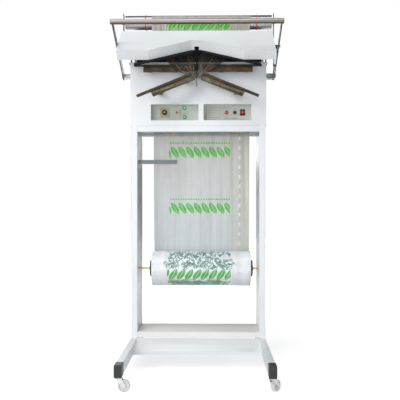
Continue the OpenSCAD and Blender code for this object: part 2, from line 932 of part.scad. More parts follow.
module centre_block() color("#2b3338") on_frame() difference()
{
    union()
    {
        translate([rod_x - 13, rod_y - 7, hinge_z - 40])
            cube([26, 14, 65]);
        translate([rod_x - 6, rod_y + 7, hinge_z - 13])
            cube([12, -rod_y - 7, 14]);
    }
    translate([rod_x, rod_y, hinge_z - 5])
        cylinder(d = 8 + 2 * run_fit, h = 40);
    translate([rod_x, rod_y, hinge_z - 45])
        cylinder(d = 3 + 2 * run_fit, h = 30);
}

module hanger_rod() color("#1d2022") on_frame() translate([rod_x, rod_y, hinge_z])
{
    translate([0, 0, -5])
        cylinder(d = 8, h = 88);
    translate([0, 0, 83])
        cylinder(d = 16, h = 7);
    // wire hook
    translate([0, 0, -73])
        cylinder(d = 3, h = 58);
    translate([0, 9, -73])
        rotate([90, 0, 90])
            rotate_extrude(angle = 180)
                translate([-9, 0])
                    circle(d = 3);
    translate([0, 18, -73])
        cylinder(d = 3, h = 6);
}

// ---------------------------------------------------------------- head

module hinge_blocks() color("#c5c8c6") on_frame() both_sides() difference()
{
    translate([cab_half, hinge_y - 12, hinge_z - 12])
        cube([arm_in - gap - cab_half, 24, 24]);
    translate([0, hinge_y, hinge_z])
        rod_x(hinge_d + 2 * run_fit, cab_half + 4, arm_in);
}

module hinge_pins() color("silver") on_frame()
{
    both_sides() translate([0, hinge_y, hinge_z])
    {
        rod_x(hinge_d, cab_half + 4, end_x - 1);
        rod_x(22, arm_out + gap, arm_out + gap + 2);
        hex_x(19, arm_out + gap + 2, end_x - arm_out - gap - 2);
    }
    translate([0, anchor_y, anchor_z])
    {
        rod_x(stud_d, cab_half, gas_x + gas_d / 2);
        rod_x(16, cab_half, cab_half + 8);
        hex_x(14, cab_half + 8, gas_x - gas_d / 2 - cab_half - 8);
    }
}

// The hood's outline in its own plane, anticlockwise from the front left
function hood_points() =
    [[-hood_half, 0], [-chevron_half, 0], [-chevron_top, chevron], [chevron_top, chevron],
     [chevron_half, 0], [hood_half, 0], [hood_half, hood_len], [-hood_half, hood_len]];

// Moves every edge of a closed outline inwards by t
function inset(points, t) =
    [for (i = [0 : len(points) - 1])
        let (n = len(points),
             p = points[(i + n - 1) % n], q = points[i], r = points[(i + 1) % n],
             u = (q - p) / norm(q - p), v = (r - q) / norm(r - q),
             a = [-u[1], u[0]], b = [-v[1], v[0]],
             k = t / (1 + a * b))
        q + k * (a + b)];

module hood() color("white") hood_plane() translate([hood_set, 0, 0])
{
    difference()
    {
        union()
        {
            translate([0, 0, -hood_t])
                linear_extrude(hood_t)
                    polygon(hood_points());
            translate([0, 0, -lip])
                linear_extrude(lip)
                    difference()
                    {
                        polygon(hood_points());
                        polygon(inset(hood_points(), hood_t));
                    }
            // side tongues that reach down to the arms
            for (side = [-1, 1])
                translate([side * (hood_half - hood_t / 2) - hood_t / 2, 0, 0])
                    rotate([90, 0, 90])
                        linear_extrude(hood_t)
                            polygon([[70, -lip + 2], [104, -105], [146, -105], [190, -lip + 2]]);
        }
        // the back lip is short, so that the film can pass
        translate([-hood_half - 1, hood_len - hood_t - 1, -lip - 1])
            cube([2 * hood_half + 2, hood_t + 2, lip + 1 - back_lip]);
        // notch for the hanger rod
        translate([rod_x - hood_set - 11, chevron - 1, -lip - 1])
            cube([22, hood_t + 2, 19]);
        for (side = [-1, 1], p = arm_bolt_points())
            translate([side * hood_half, p[0], p[1]])
                rotate([0, 90, 0])
                    cylinder(d = 6.1, h = 20, center = true);
    }
}

// Places of the bolts that tie the hood to the arms, in the hood's own plane
function arm_bolt_points() = [[112.6, -61], [129.8, -97]];

module upper_jaws() color("#27403f") hood_plane() both_sides()
    translate([0, 0, -lip - jaw_t + 1.5])
        linear_extrude(jaw_t - 1.5)
        {
            jaw_outline(chevron_top, jaw_half + 5, strip_w + 3);
            jaw_outline(chevron_top, chevron_half - 14, strip_w, over = 20);
        }

module upper_heaters() color("#5a3c2c") hood_plane() both_sides()
    translate([0, 0, -lip - jaw_t])
        linear_extrude(1.5)
            jaw_outline(chevron_top, jaw_half, strip_w);

// Pieces in the arm's own plane: x along the arm from the hinge, y across it
module arm_plane(x0) on_frame()
    translate([x0, hinge_y, hinge_z])
        rotate([90, 0, 90])
            rotate([0, 0, 180 - arm_slope])
                children();

module side_arms() color("#8f9496")
{
    for (side = [-1, 1])
        difference()
        {
            arm_plane(side * arm_x - arm_t / 2)
                linear_extrude(arm_t)
                    difference()
                    {
                        union()
                        {
                            circle(d = arm_root);
                            polygon([[0, -arm_root / 2], [arm_len - 8, -arm_tip / 2],
                                     [arm_len - 8, arm_tip / 2], [0, arm_root / 2]]);
                        }
                        circle(d = hinge_d + 2 * run_fit);
                        translate([arm_len, 0])
                            circle(d = handle_d + 2 * run_fit);
                    }
            if (side > 0)
                on_frame()
                    translate([0, -stud_y, stud_z])
                        rod_x(stud_d + 2 * run_fit, arm_in - 1, arm_out + 1);
            for (p = arm_bolt_points())
                hood_plane()
                    translate([side * arm_x, p[0], p[1]])
                        rotate([0, 90, 0])
                            cylinder(d = 6.1, h = 20, center = true);
        }
    // spacers and bolts between the hood and the arms
    hood_plane() for (p = arm_bolt_points())
    {
        translate([hood_set + hood_half, p[0], p[1]])
            arm_spacer(arm_in - hood_set - hood_half);
        translate([-arm_in, p[0], p[1]])
            arm_spacer(arm_in + hood_set - hood_half);
    }
    // gas spring stud
    on_frame() translate([0, -stud_y, stud_z])
    {
        rod_x(stud_d, gas_x - gas_d / 2, arm_out + 6.9);
        rod_x(10, arm_in - 1.1, arm_in);
    }
}

// Bolts through the hood's tongues, the spacers and the arms, and the stud's nut
module head_bolts() color("#b08d4a")
{
    hood_plane() for (p = arm_bolt_points())
    {
        translate([0, p[0], p[1]])
            head_bolt(hood_set + hood_half - hood_t, arm_out);
        translate([0, p[0], p[1]])
            mirror([1, 0, 0])
                head_bolt(hood_half - hood_set - hood_t, arm_out);
    }
    on_frame() translate([0, -stud_y, stud_z]) difference()
    {
        union()
        {
            rod_x(15, arm_out, arm_out + 1.5);
            hex_x(12, arm_out + 1.5, 5);
        }
        rod_x(stud_d, arm_out - 1, arm_out + 10);
    }
}

module head_bolt(inside, outside)
{
    rod_x(6, inside - 4, outside + 3);
    hex_x(10, inside - 4, 4);
    hex_x(10, outside, 4);
}

module arm_spacer(len)
    difference()
    {
        rod_x(11, 0, len);
        rod_x(6.1, -1, len + 1);
    }

module handle_tube() color("#c9cccd") on_frame() translate([0, -handle_y, handle_z])
{
    difference()
    {
        rod_x(handle_d, -handle_half, handle_half);
        rod_x(handle_d - 3, -handle_half - 1, handle_half + 1);
    }
    both_sides()
    {
        rod_x(handle_d, handle_half, end_x - 1);
        rod_x(handle_d - 3, handle_half - 15, handle_half);
        rod_x(handle_d - 6, end_x - 1, end_x);
    }
}

// The gas spring's own frame: x from the arm's stud towards the anchor
module gas_plane() on_frame()
    translate([gas_x, -stud_y, stud_z])
        rotate([-gas_slope, 0, 0])
            children();

module gas_cylinder() color("#b9bfc4") gas_plane() difference()
{
    union()
    {
        rod_x(13, -gas_d / 2, gas_d / 2);
        rod_y(10, 4, 8);
        rod_y(gas_d, 10, gas_len - 10);
        rod_y(gas_d + 1.5, gas_len, 4);
        rod_y(gas_d - 1, gas_len + 4, 14);
    }
    rod_x(stud_d + 2 * run_fit, -gas_d, gas_d);
    rod_y(rod_d + 2 * run_fit, 40, gas_len);
}

module gas_rod() color("#4a4d50") gas_plane()
{
    rod_y(rod_d, 72, gas_span - 72 - stud_d / 2 - eye_play);
    difference()
    {
        translate([0, gas_span, 0])
            rod_x(2 * (stud_d / 2 + eye_play + 2.5), -gas_d / 2 + 1, gas_d / 2 - 1);
        translate([0, gas_span, 0])
            rod_x(stud_d + 2 * eye_play, -gas_d, gas_d);
    }
}

// ---------------------------------------------------------------- roller and film

module roller_brackets() color("#6f7678") on_frame() both_sides() difference()
{
    translate([0, roller_y + bracket_w / 2, 0])
        rotate([90, 0, 0])
            linear_extrude(bracket_w)
                polygon([[cab_half, cab_top - 40], [cab_half + 4, cab_top - 40],
                         [cab_half + 4, bracket_bend], [bracket_x + 4, bracket_bend + 12],
                         [bracket_x + 4, roller_z + 42], [bracket_x, roller_z + 42],
                         [bracket_x, bracket_bend + 16], [cab_half, bracket_bend + 4]]);
    translate([0, roller_y, roller_z])
        rod_x(shaft_d + 2 * run_fit, bracket_x - 5, bracket_x + 10);
    for (side = [-1, 1])
        translate([0, roller_y + side * (bracket_w / 2 + 1), roller_z + 25])
            rod_x(24, bracket_x - 1, end_x);
}

module roller_shaft() color("silver") on_frame() translate([0, roller_y, roller_z])
{
    rod_x(shaft_d, -end_x + 2, end_x - 2);
    both_sides()
    {
        hex_x(19, bracket_x + 4, 8);
        rod_x(20, roller_half + gap, bracket_x);
    }
}

module top_roller() color("#c6c9ca") on_frame() translate([0, roller_y, roller_z])
{
    difference()
    {
        rod_x(roller_d, -roller_half, roller_half);
        rod_x(roller_d - 5, -roller_half + 6, roller_half - 6);
        rod_x(shaft_d + 2 * run_fit, -roller_half - 1, roller_half + 1);
    }
    // rubber rings beside the film
    for (side = [-1, 1])
        translate([film_set + side * (film_w / 2 + ring_gap), 0, 0])
            difference()
            {
                rod_x(roller_d + 5, -3, 3);
                rod_x(roller_d - 3, -4, 4);
            }
}

module roll_axle() color("#b59a55") on_frame() translate([0, axle_y, axle_z])
    rod_x(rod_axle, -inner_x - 10, inner_x + 10);

module roll_flanges() color("#1e1f21") on_frame() translate([film_set, axle_y, axle_z])
{
    both_sides() difference()
    {
        union()
        {
            rod_x(flange_d, hub_x, hub_x + 4);
            rod_x(core_d - 2 * core_wall - 0.4, hub_x - 40, hub_x);
            rod_x(18, hub_x + 4, hub_x + 11);
            hex_x(17, hub_x + 11, 6);
        }
        rod_x(rod_axle + 2 * run_fit, hub_x - 50, hub_x + 30);
    }
}

module film_roll() color("#dfeae6") on_frame() translate([film_set, axle_y, axle_z]) difference()
{
    rod_x(roll_d, -hub_x, hub_x);
    rod_x(core_d - 2 * core_wall, -hub_x - 1, hub_x + 1);
}

// Upright run, wrap over the roller and the run that narrows towards the jaws
module film_web() color("#c8ccc4") on_frame()
{
    wrap_r = roller_d / 2 + gap;
    translate([film_set + film_w / 2, 0, 0])
        rotate([0, -90, 0])
            linear_extrude(film_w)
                polygon([[axle_z, web_foot], [roller_z, web_top],
                         [roller_z, web_top + film_t], [axle_z, web_foot + film_t]]);
    difference()
    {
        translate([film_set, roller_y, roller_z])
            rod_x(2 * (wrap_r + film_t), -film_w / 2, film_w / 2);
        translate([film_set, roller_y, roller_z])
            rod_x(2 * wrap_r, -film_w, film_w);
        translate([-film_w, 0, axle_z])
            cube([2 * film_w, 400, roller_z - axle_z]);
    }
    intersection()
    {
        translate([film_w, 0, 0])
            rotate([0, -90, 0])
                linear_extrude(2 * film_w)
                    polygon(concat(film_run(0), reversed(film_run(film_t))));
        translate([0, 300, 0])
            rotate([90, 0, 0])
                linear_extrude(600)
                    difference()
                    {
                        polygon(concat(film_edge(2), reversed(film_edge(3))));
                        translate([rod_x - 6, hinge_z - 10])
                            square([12, film_mid - hinge_z]);
                    }
    }
}

// Height, distance behind the cabinet's front, left edge and right edge of each film station
function film_stations() =
    [[roller_z, roller_y - roller_d / 2 - gap - film_t, film_set - film_w / 2, film_set + film_w / 2],
     [film_mid, 20, -230, 250], [hinge_z + 63, -50, -180, 157], [hinge_z + 34, -70, -150, 125],
     [hinge_z - 4, -75, -115, 75]];

// The narrowing run's height and set-back, and one of its two edges
function film_run(t) = [for (s = film_stations()) [s[0], s[1] + t]];
function film_edge(side) = [for (s = film_stations()) [s[side], s[0]]];
function reversed(list) = [for (i = [len(list) - 1 : -1 : 0]) list[i]];

legs();
leg_caps();
caster_stems();
caster_fork_fl();
caster_fork_fr();
caster_fork_rl();
caster_fork_rr();
caster_wheel_fl();
caster_wheel_fr();
caster_wheel_rl();
caster_wheel_rr();
columns();
cross_beams();
shelf_tray();
shelf_bolts();
foot_plate();
rest_bar();
cabinet_shell();
back_cover();
rear_guard();
guard_liner();
power_inlet();
transformer();
control_frames();
control_panels();
timer_body();
timer_dial();
toggle_body();
toggle_lever();
lamp_bezels();
green_lenses();
red_lens();
fuse_holder();
fuse_cap();
rocker_frame();
rocker_paddle();
lower_jaws();
lower_strips();
guide_bars();
guide_strips();
jaw_screws();
centre_block();
hanger_rod();
hinge_blocks();
hinge_pins();
hood();
upper_jaws();
upper_heaters();
side_arms();
head_bolts();
handle_tube();
gas_cylinder();
gas_rod();
roller_brackets();
roller_shaft();
top_roller();
roll_axle();
roll_flanges();
film_roll();
film_web();
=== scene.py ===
"""Visual model of a standing impulse heat sealer, dressed round its CAD frame."""

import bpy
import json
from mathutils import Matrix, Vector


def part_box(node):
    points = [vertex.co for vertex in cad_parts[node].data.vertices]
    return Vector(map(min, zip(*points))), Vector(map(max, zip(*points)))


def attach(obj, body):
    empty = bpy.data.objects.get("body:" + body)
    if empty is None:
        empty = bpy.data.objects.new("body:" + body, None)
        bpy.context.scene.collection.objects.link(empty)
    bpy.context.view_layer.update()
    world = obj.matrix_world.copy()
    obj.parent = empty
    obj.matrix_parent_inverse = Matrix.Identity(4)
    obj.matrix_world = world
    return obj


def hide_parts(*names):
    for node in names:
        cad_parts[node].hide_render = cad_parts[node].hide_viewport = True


bl_info = {
    "name": "Impulse Heat Sealer",
    "version": (1, 0, 0),
    "blender": (4, 5, 0),
    "location": "View3D > Sidebar > Sealer",
    "description": "Builds the finishes, film and fittings of a standing impulse heat sealer",
    "category": "Object",
}

import json
import math

import bpy
import numpy as np
from mathutils import Vector

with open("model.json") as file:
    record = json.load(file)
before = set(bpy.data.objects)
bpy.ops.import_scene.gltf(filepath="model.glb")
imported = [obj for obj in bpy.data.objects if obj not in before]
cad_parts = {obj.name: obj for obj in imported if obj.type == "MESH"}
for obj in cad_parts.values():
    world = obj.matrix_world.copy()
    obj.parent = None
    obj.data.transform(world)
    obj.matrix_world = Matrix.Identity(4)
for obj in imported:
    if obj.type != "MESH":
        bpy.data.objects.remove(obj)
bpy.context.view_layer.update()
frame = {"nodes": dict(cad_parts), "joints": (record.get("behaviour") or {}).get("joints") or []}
NODES = frame["nodes"]


def joint(name, what="pos_m"):
    """A joint's place in the frame, in metres, or its axis."""
    return next(j[what] for j in frame["joints"] if j["name"] == name)


ROLL_AXIS = joint("film_roll_spin")
ROLLER_AXIS = joint("top_roller_spin")
ROLL_LOW, ROLL_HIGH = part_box("film_roll")
ROLLER_LOW, ROLLER_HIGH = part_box("top_roller")
FLANGE_LOW, FLANGE_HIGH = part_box("roll_flanges")
ROLL_RADIUS = (ROLL_HIGH.z - ROLL_LOW.z) / 2
FLANGE_RADIUS = (FLANGE_HIGH.z - FLANGE_LOW.z) / 2
# The roller's box is set by its rubber rings, which stand 2.5 mm proud of it.
ROLLER_RADIUS = (ROLLER_HIGH.z - ROLLER_LOW.z) / 2 - 0.0025
FILM_HALF = (ROLL_HIGH.x - ROLL_LOW.x) / 2
FILM_X = (ROLL_HIGH.x + ROLL_LOW.x) / 2
# Front of the columns, 5 mm behind the front of the cabinet's shell.
COLUMN_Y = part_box("cabinet_shell")[0].y + 0.005
# The hanger rod's place, which parts the gathered film.
ROD_X = -0.006
# Fall of the lower jaws, in height for each unit of distance from the middle.
JAW_SLOPE = 0.366
# The print's rows and leaves repeat at these distances. Its middle is this far to the left.
ROW_PITCH = 0.294
LEAF_PITCH = 0.040
PRINT_SHIFT = 0.011
# The column of sealed air pockets: its distance from the film's middle, and the pockets' pitch.
POCKET_X = 0.198
POCKET_PITCH = 0.05


# ---------------------------------------------------------------- properties

TINT = {"subtype": "COLOR", "size": 3, "min": 0.0, "max": 1.0}


class SealerFinish(bpy.types.PropertyGroup):
    """Colours of the machine's main finishes."""

    paint: bpy.props.FloatVectorProperty(
        name="Paint",
        description="Colour of the powder coat",
        default=(0.82, 0.85, 0.875),
        **TINT,
    )
    cover: bpy.props.FloatVectorProperty(
        name="Jaw cover",
        description="Colour of the glass cloth on the jaws",
        default=(0.125, 0.115, 0.062),
        **TINT,
    )
    film: bpy.props.FloatVectorProperty(
        name="Film",
        description="Colour of the packing film",
        default=(0.43, 0.425, 0.385),
        **TINT,
    )
    print_ink: bpy.props.FloatVectorProperty(
        name="Print",
        description="Colour of the pattern printed on the film",
        default=(0.030, 0.42, 0.001),
        **TINT,
    )


class SealerFilm(bpy.types.PropertyGroup):
    """Sizes of the film's folds."""

    wrinkle: bpy.props.FloatProperty(
        name="Wrinkle",
        description="Depth of the film's upright wrinkles",
        unit="LENGTH",
        min=0.0,
        max=0.006,
        default=0.0016,
    )
    gather: bpy.props.FloatProperty(
        name="Gather",
        description="Depth of the pleats where the film is gathered at the jaws",
        unit="LENGTH",
        min=0.0,
        max=0.004,
        default=0.0035,
    )
    dent: bpy.props.FloatProperty(
        name="Dent",
        description="Depth of the dents in the wound roll",
        unit="LENGTH",
        min=0.0,
        max=0.004,
        default=0.0030,
    )


class SealerStage(bpy.types.PropertyGroup):
    """Lamps and camera."""

    key_power: bpy.props.FloatProperty(
        name="Key lamp",
        description="Power of the main lamp",
        unit="POWER",
        min=0.0,
        default=66.0,
    )
    world_level: bpy.props.FloatProperty(
        name="Sky level",
        description="Strength of the even light from all round",
        min=0.0,
        max=1.0,
        default=0.11,
    )
    focal_length: bpy.props.FloatProperty(
        name="Focal length",
        description="Focal length of the camera",
        unit="CAMERA",
        min=10.0,
        default=54.0,
    )


# ---------------------------------------------------------------- mesh tools


def cells(rows, columns, wrap=True):
    """Corner numbers of the quads of a grid. wrap joins its last row and column to the first."""
    less = 0 if wrap else 1
    i, j = np.meshgrid(np.arange(rows - less), np.arange(columns - less), indexing="ij")
    i2, j2 = (i + 1) % rows, (j + 1) % columns
    return np.stack([i * columns + j, i2 * columns + j, i2 * columns + j2, i * columns + j2], -1)


def mesh_piece(name, points, faces, material, uv=None, smooth=True):
    """A piece from whole arrays of points and quads, with the pattern map if one is given."""
    points, faces = points.reshape(-1, 3), faces.reshape(-1, 4)
    mesh = bpy.data.meshes.new(name)
    mesh.vertices.add(len(points))
    mesh.vertices.foreach_set("co", points.reshape(-1).astype(np.float32))
    mesh.loops.add(faces.size)
    mesh.loops.foreach_set("vertex_index", faces.reshape(-1).astype(np.int32))
    mesh.polygons.add(len(faces))
    mesh.polygons.foreach_set("loop_start", np.arange(0, faces.size, 4, dtype=np.int32))
    mesh.update(calc_edges=True)
    mesh.polygons.foreach_set("use_smooth", np.full(len(faces), smooth))
    if uv is not None:
        layer = mesh.uv_layers.new(name="Pattern")
        corners = uv.reshape(-1, 2)[faces.reshape(-1)]
        layer.data.foreach_set("uv", corners.reshape(-1).astype(np.float32))
    mesh.validate()
    mesh.materials.append(material)
    piece = bpy.data.objects.new(name, mesh)
    bpy.context.scene.collection.objects.link(piece)
    return piece


def surface(name, points, material, wrap=False, uv=None, keep=None):
    """A mesh from a grid of points of the shape (rows, columns, 3), one quad for each cell.

    wrap joins the last row and column to the first. keep is a mask of the cells that stay.
    """
    faces = cells(*points.shape[:2], wrap)
    if keep is not None:
        faces = faces[keep]
    return mesh_piece(name, points, faces, material, uv)


def turned(name, profile, origins, axis, material, segments=48):
    """Turned pieces in one mesh: a closed profile of (distance along the axis, radius) carried round.

    Each point is origin + along * axis + radius * (cos a * side + sin a * up), for each origin.
    """
    profile = np.asarray(profile, float)
    axis = np.asarray(axis, float)
    side = np.cross(axis, [0, 0, 1])
    up = np.cross(axis, side)
    angle = np.linspace(0, 2 * np.pi, segments, endpoint=False)
    ring = np.cos(angle)[:, None] * side + np.sin(angle)[:, None] * up
    one = profile[None, :, :1] * axis + profile[None, :, 1:] * ring[:, None]
    origins = np.asarray(origins, float)
    points = origins[:, None, None, :] + one[None]
    first = segments * len(profile) * np.arange(len(origins))
    faces = cells(segments, len(profile))[None] + first[:, None, None, None]
    return mesh_piece(name, points, faces, material)


def boxes(name, centres, halves, material, turn=None):
    """Many small boxes in one mesh: each corner is the centre plus or minus the half size.

    turn holds one 3 by 3 matrix for each box, and is left out for upright ones.
    """
    centres, halves = np.asarray(centres, float), np.asarray(halves, float)
    corner = np.array([[x, y, z] for x in (-1, 1) for y in (-1, 1) for z in (-1, 1)], float)
    local = corner[None] * halves[:, None]
    if turn is not None:
        local = np.einsum("nij,nkj->nki", turn, local)
    quads = np.array(
        [[0, 1, 3, 2], [4, 6, 7, 5], [0, 4, 5, 1], [2, 3, 7, 6], [0, 2, 6, 4], [1, 5, 7, 3]]
    )
    faces = quads[None] + 8 * np.arange(len(centres))[:, None, None]
    return mesh_piece(name, centres[:, None] + local, faces, material, smooth=False)


# ---------------------------------------------------------------- finishes


class Recipe:
    """Adds nodes to one material. Values pass from step to step as sockets."""

    def __init__(self, name):
        self.material = bpy.data.materials.new(name)
        self.material.use_nodes = True
        self.tree = self.material.node_tree
        self.tree.nodes.clear()
        self.shader = self.tree.nodes.new("ShaderNodeBsdfPrincipled")
        self.step("ShaderNodeOutputMaterial", {"Surface": self.shader.outputs["BSDF"]}, None)
        self.place = self.tree.nodes.new("ShaderNodeTexCoord").outputs

    def feed(self, value, socket):
        """Links a socket to another, or sets it to a number, vector or colour."""
        if isinstance(value, bpy.types.NodeSocket):
            self.tree.links.new(value, socket)
        elif socket.type == "RGBA":
            socket.default_value = (*value[:3], 1.0)
        else:
            socket.default_value = value

    def step(self, kind, inputs, out=0, **settings):
        """Adds a node, feeds its inputs and returns one of its outputs, or none."""
        made = self.tree.nodes.new(kind)
        for key, value in settings.items():
            setattr(made, key, value)
        for key, value in inputs.items():
            self.feed(value, made.inputs[key])
        return None if out is None else made.outputs[out]

    def finish(self, **values):
        """Feeds the shader's own sockets and returns the material."""
        for key, value in values.items():
            self.feed(value, self.shader.inputs[key.replace("_", " ")])
        return self.material

    def parts(self, source="Object"):
        """The three coordinates of a point of the piece, or of its pattern map."""
        made = self.tree.nodes.new("ShaderNodeSeparateXYZ")
        self.feed(self.place[source], made.inputs["Vector"])
        return tuple(made.outputs)

    def noise(self, scale, detail=3.0, stretch=(1, 1, 1), source="Object", distortion=0.0):
        """Smooth noise on the piece's own coordinates, scaled along each axis."""
        where = self.step("ShaderNodeMapping", {"Vector": self.place[source], "Scale": stretch})
        return self.step(
            "ShaderNodeTexNoise",
            {"Vector": where, "Scale": scale, "Detail": detail, "Distortion": distortion},
        )

    def wave(self, direction, scale, distortion=0.0):
        """Even bands on the piece's own coordinates."""
        return self.step(
            "ShaderNodeTexWave",
            {"Vector": self.place["Object"], "Scale": scale, "Distortion": distortion},
            "Fac",
            bands_direction=direction,
        )

    def ramp(self, value, stops, interpolation="LINEAR"):
        """A colour ramp with (position, colour) stops, where a single number is a grey."""
        made = self.tree.nodes.new("ShaderNodeValToRGB")
        band = made.color_ramp
        band.interpolation = interpolation
        while len(band.elements) < len(stops):
            band.elements.new(0.5)
        for element, (position, colour) in zip(band.elements, stops):
            element.position = position
            element.color = (*np.broadcast_to(colour, 3).astype(float), 1.0)
        self.feed(value, made.inputs["Fac"])
        return made.outputs["Color"]

    def tones(self, value, colour, low, high, start=0.3, end=0.7):
        """From a darker to a lighter tone of a colour, as a noise goes from start to end."""
        return self.ramp(value, [(start, shade(colour, low)), (end, shade(colour, high))])

    def mix(self, factor, a, b, blend="MIX"):
        """A colour mixed from a to b. The node takes colours at inputs 6 and 7, out at 2."""
        return self.step(
            "ShaderNodeMix", {0: factor, 6: a, 7: b}, 2, data_type="RGBA", blend_type=blend
        )

    def math(self, operation, *values):
        """One step of arithmetic on sockets or numbers."""
        return self.step("ShaderNodeMath", dict(enumerate(values)), operation=operation)

    def vector(self, operation, out, *values):
        """One step of arithmetic on vectors."""
        return self.step(
            "ShaderNodeVectorMath", dict(enumerate(values)), out, operation=operation
        )

    # Short names for the steps of arithmetic that are used most.

    def times(self, a, b):
        return self.math("MULTIPLY", a, b)

    def plus(self, a, b):
        return self.math("ADD", a, b)

    def minus(self, a, b):
        return self.math("SUBTRACT", a, b)

    def most(self, a, b):
        return self.math("MAXIMUM", a, b)

    def above(self, a, b):
        return self.math("GREATER_THAN", a, b)

    def below(self, a, b):
        return self.math("LESS_THAN", a, b)

    def repeat(self, a, b):
        return self.math("FLOORED_MODULO", a, b)

    def off(self, value, centre=0.0):
        """Distance of a value from a centre."""
        return self.math("ABSOLUTE", self.minus(value, centre))

    def remap(self, value, start, end, low=0.0, high=1.0):
        """Maps a value from start to end onto low to high, held at both."""
        return self.step(
            "ShaderNodeMapRange",
            {"Value": value, "From Min": start, "From Max": end, "To Min": low, "To Max": high},
        )

    def spread(self, value, low, high):
        """Maps a noise's middle range onto low to high."""
        return self.remap(value, 0.3, 0.7, low, high)

    def bump(self, height, strength, distance):
        """Small relief from a height."""
        relief = {"Height": height, "Strength": strength, "Distance": distance}
        self.finish(Normal=self.step("ShaderNodeBump", relief))


def shade(colour, factor):
    """A colour made lighter or darker."""
    return tuple(min(1.0, c * factor) for c in colour[:3])


def coat_of_paint(name, colour, rough=0.38):
    """Powder coat: two close tones in soft patches, a fine orange peel and faint handling marks."""
    recipe = Recipe(name)
    patches = recipe.noise(5.0, 4.0)
    marks = recipe.remap(recipe.noise(22.0, 5.0, (1, 1, 0.35)), 0.62, 0.78, 0.0, 0.06)
    tones = recipe.tones(patches, colour, 0.955, 1.02)
    recipe.bump(recipe.noise(900.0, 2.0), 0.25, 0.0002)
    return recipe.finish(
        Base_Color=recipe.mix(marks, tones, shade(colour, 0.7)),
        Roughness=recipe.spread(patches, rough - 0.05, rough + 0.07),
        Coat_Weight=0.15,
        Coat_Roughness=0.2,
    )


def bare_metal(name, colour, rough=0.28, brush=(1, 40, 40)):
    """Drawn or plated metal: long fine brush lines and slightly uneven gloss."""
    recipe = Recipe(name)
    lines = recipe.noise(30.0, 4.0, brush)
    recipe.bump(lines, 0.12, 0.0002)
    return recipe.finish(
        Base_Color=recipe.tones(lines, colour, 0.82, 1.08),
        Roughness=recipe.spread(lines, rough - 0.08, rough + 0.1),
        Metallic=1.0,
    )


def moulded(name, colour, rough=0.42, grain=700.0, coat=0.0, gloss=0.5):
    """Moulded plastic: fine spark-eroded grain and a little colour drift."""
    recipe = Recipe(name)
    drift = recipe.noise(14.0)
    recipe.bump(recipe.noise(grain, 2.0), 0.3, 0.0001)
    return recipe.finish(
        Base_Color=recipe.tones(drift, colour, 0.85, 1.12),
        Roughness=recipe.spread(drift, rough - 0.06, rough + 0.08),
        Coat_Weight=coat,
        Specular_IOR_Level=gloss,
    )


def lamp_glass(name, colour):
    """Tinted lens: fine vertical flutes and a faint glow."""
    recipe = Recipe(name)
    flutes = recipe.wave("X", 260.0)
    tones = recipe.tones(flutes, colour, 0.8, 1.15, 0.0, 1.0)
    recipe.bump(flutes, 0.25, 0.0002)
    return recipe.finish(
        Base_Color=tones,
        Emission_Color=tones,
        Emission_Strength=0.35,
        Roughness=0.12,
        Coat_Weight=0.5,
    )


def glass_cloth(name, colour, rough=0.45, top=None, slope=0.0, depth=0.04, reach=(0.06, 0.2)):
    """Coated glass cloth: a fine square weave, scorched darker in patches.

    With top given it is darkened along both edges of a bar that falls away from the middle by
    slope, and has a browner pressed panel between the two distances of reach.
    """
    recipe = Recipe(name)
    crossed = recipe.times(recipe.wave("X", 420.0, 0.6), recipe.wave("DIAGONAL", 420.0, 0.6))
    scorch = recipe.noise(24.0, 5.0)
    tones = recipe.ramp(
        scorch, [(0.32, shade(colour, 0.45)), (0.5, colour), (0.72, shade(colour, 1.75))]
    )
    cloth = recipe.mix(recipe.times(crossed, 0.3), tones, shade(colour, 2.1))
    if top is not None:
        x, _, z = recipe.parts()
        side = recipe.off(x)
        ridge = recipe.minus(top, recipe.times(side, slope))
        # Level runs from 0 at the bar's upper edge to 1 at its lower edge.
        level = recipe.math("DIVIDE", recipe.minus(ridge, z), depth)
        half = (reach[1] - reach[0]) / 2
        panel = recipe.times(
            recipe.remap(recipe.off(level, 0.62), 0.10, 0.13, 0.75, 0.0),
            recipe.remap(recipe.off(side, sum(reach) / 2), half, half + 0.003, 1.0, 0.0),
        )
        cloth = recipe.mix(panel, cloth, (0.095, 0.052, 0.040))
        edge = recipe.remap(recipe.off(level, 0.56), 0.34, 0.44, 0.0, 0.8)
        cloth = recipe.mix(edge, cloth, shade(colour, 0.22))
    recipe.bump(crossed, 0.35, 0.0003)
    return recipe.finish(
        Base_Color=cloth,
        Roughness=recipe.spread(scorch, rough - 0.12, rough + 0.1),
        Specular_IOR_Level=0.2,
    )


def banded_roller(name, colour, ring_colour):
    """Spun aluminium that turns to rubber where the surface stands proud of the roller."""
    recipe = Recipe(name)
    _, y, z = recipe.parts()
    dy, dz = recipe.minus(y, ROLLER_AXIS[1]), recipe.minus(z, ROLLER_AXIS[2])
    square = recipe.plus(recipe.times(dy, dy), recipe.times(dz, dz))
    proud = recipe.above(square, (ROLLER_RADIUS + 0.0004) ** 2)
    lines = recipe.noise(60.0, 4.0, (40, 1, 1))
    recipe.bump(lines, 0.15, 0.0003)
    return recipe.finish(
        Base_Color=recipe.mix(proud, recipe.tones(lines, colour, 0.78, 1.05), ring_colour),
        Metallic=recipe.minus(1.0, proud),
        Roughness=recipe.spread(lines, 0.2, 0.42),
    )


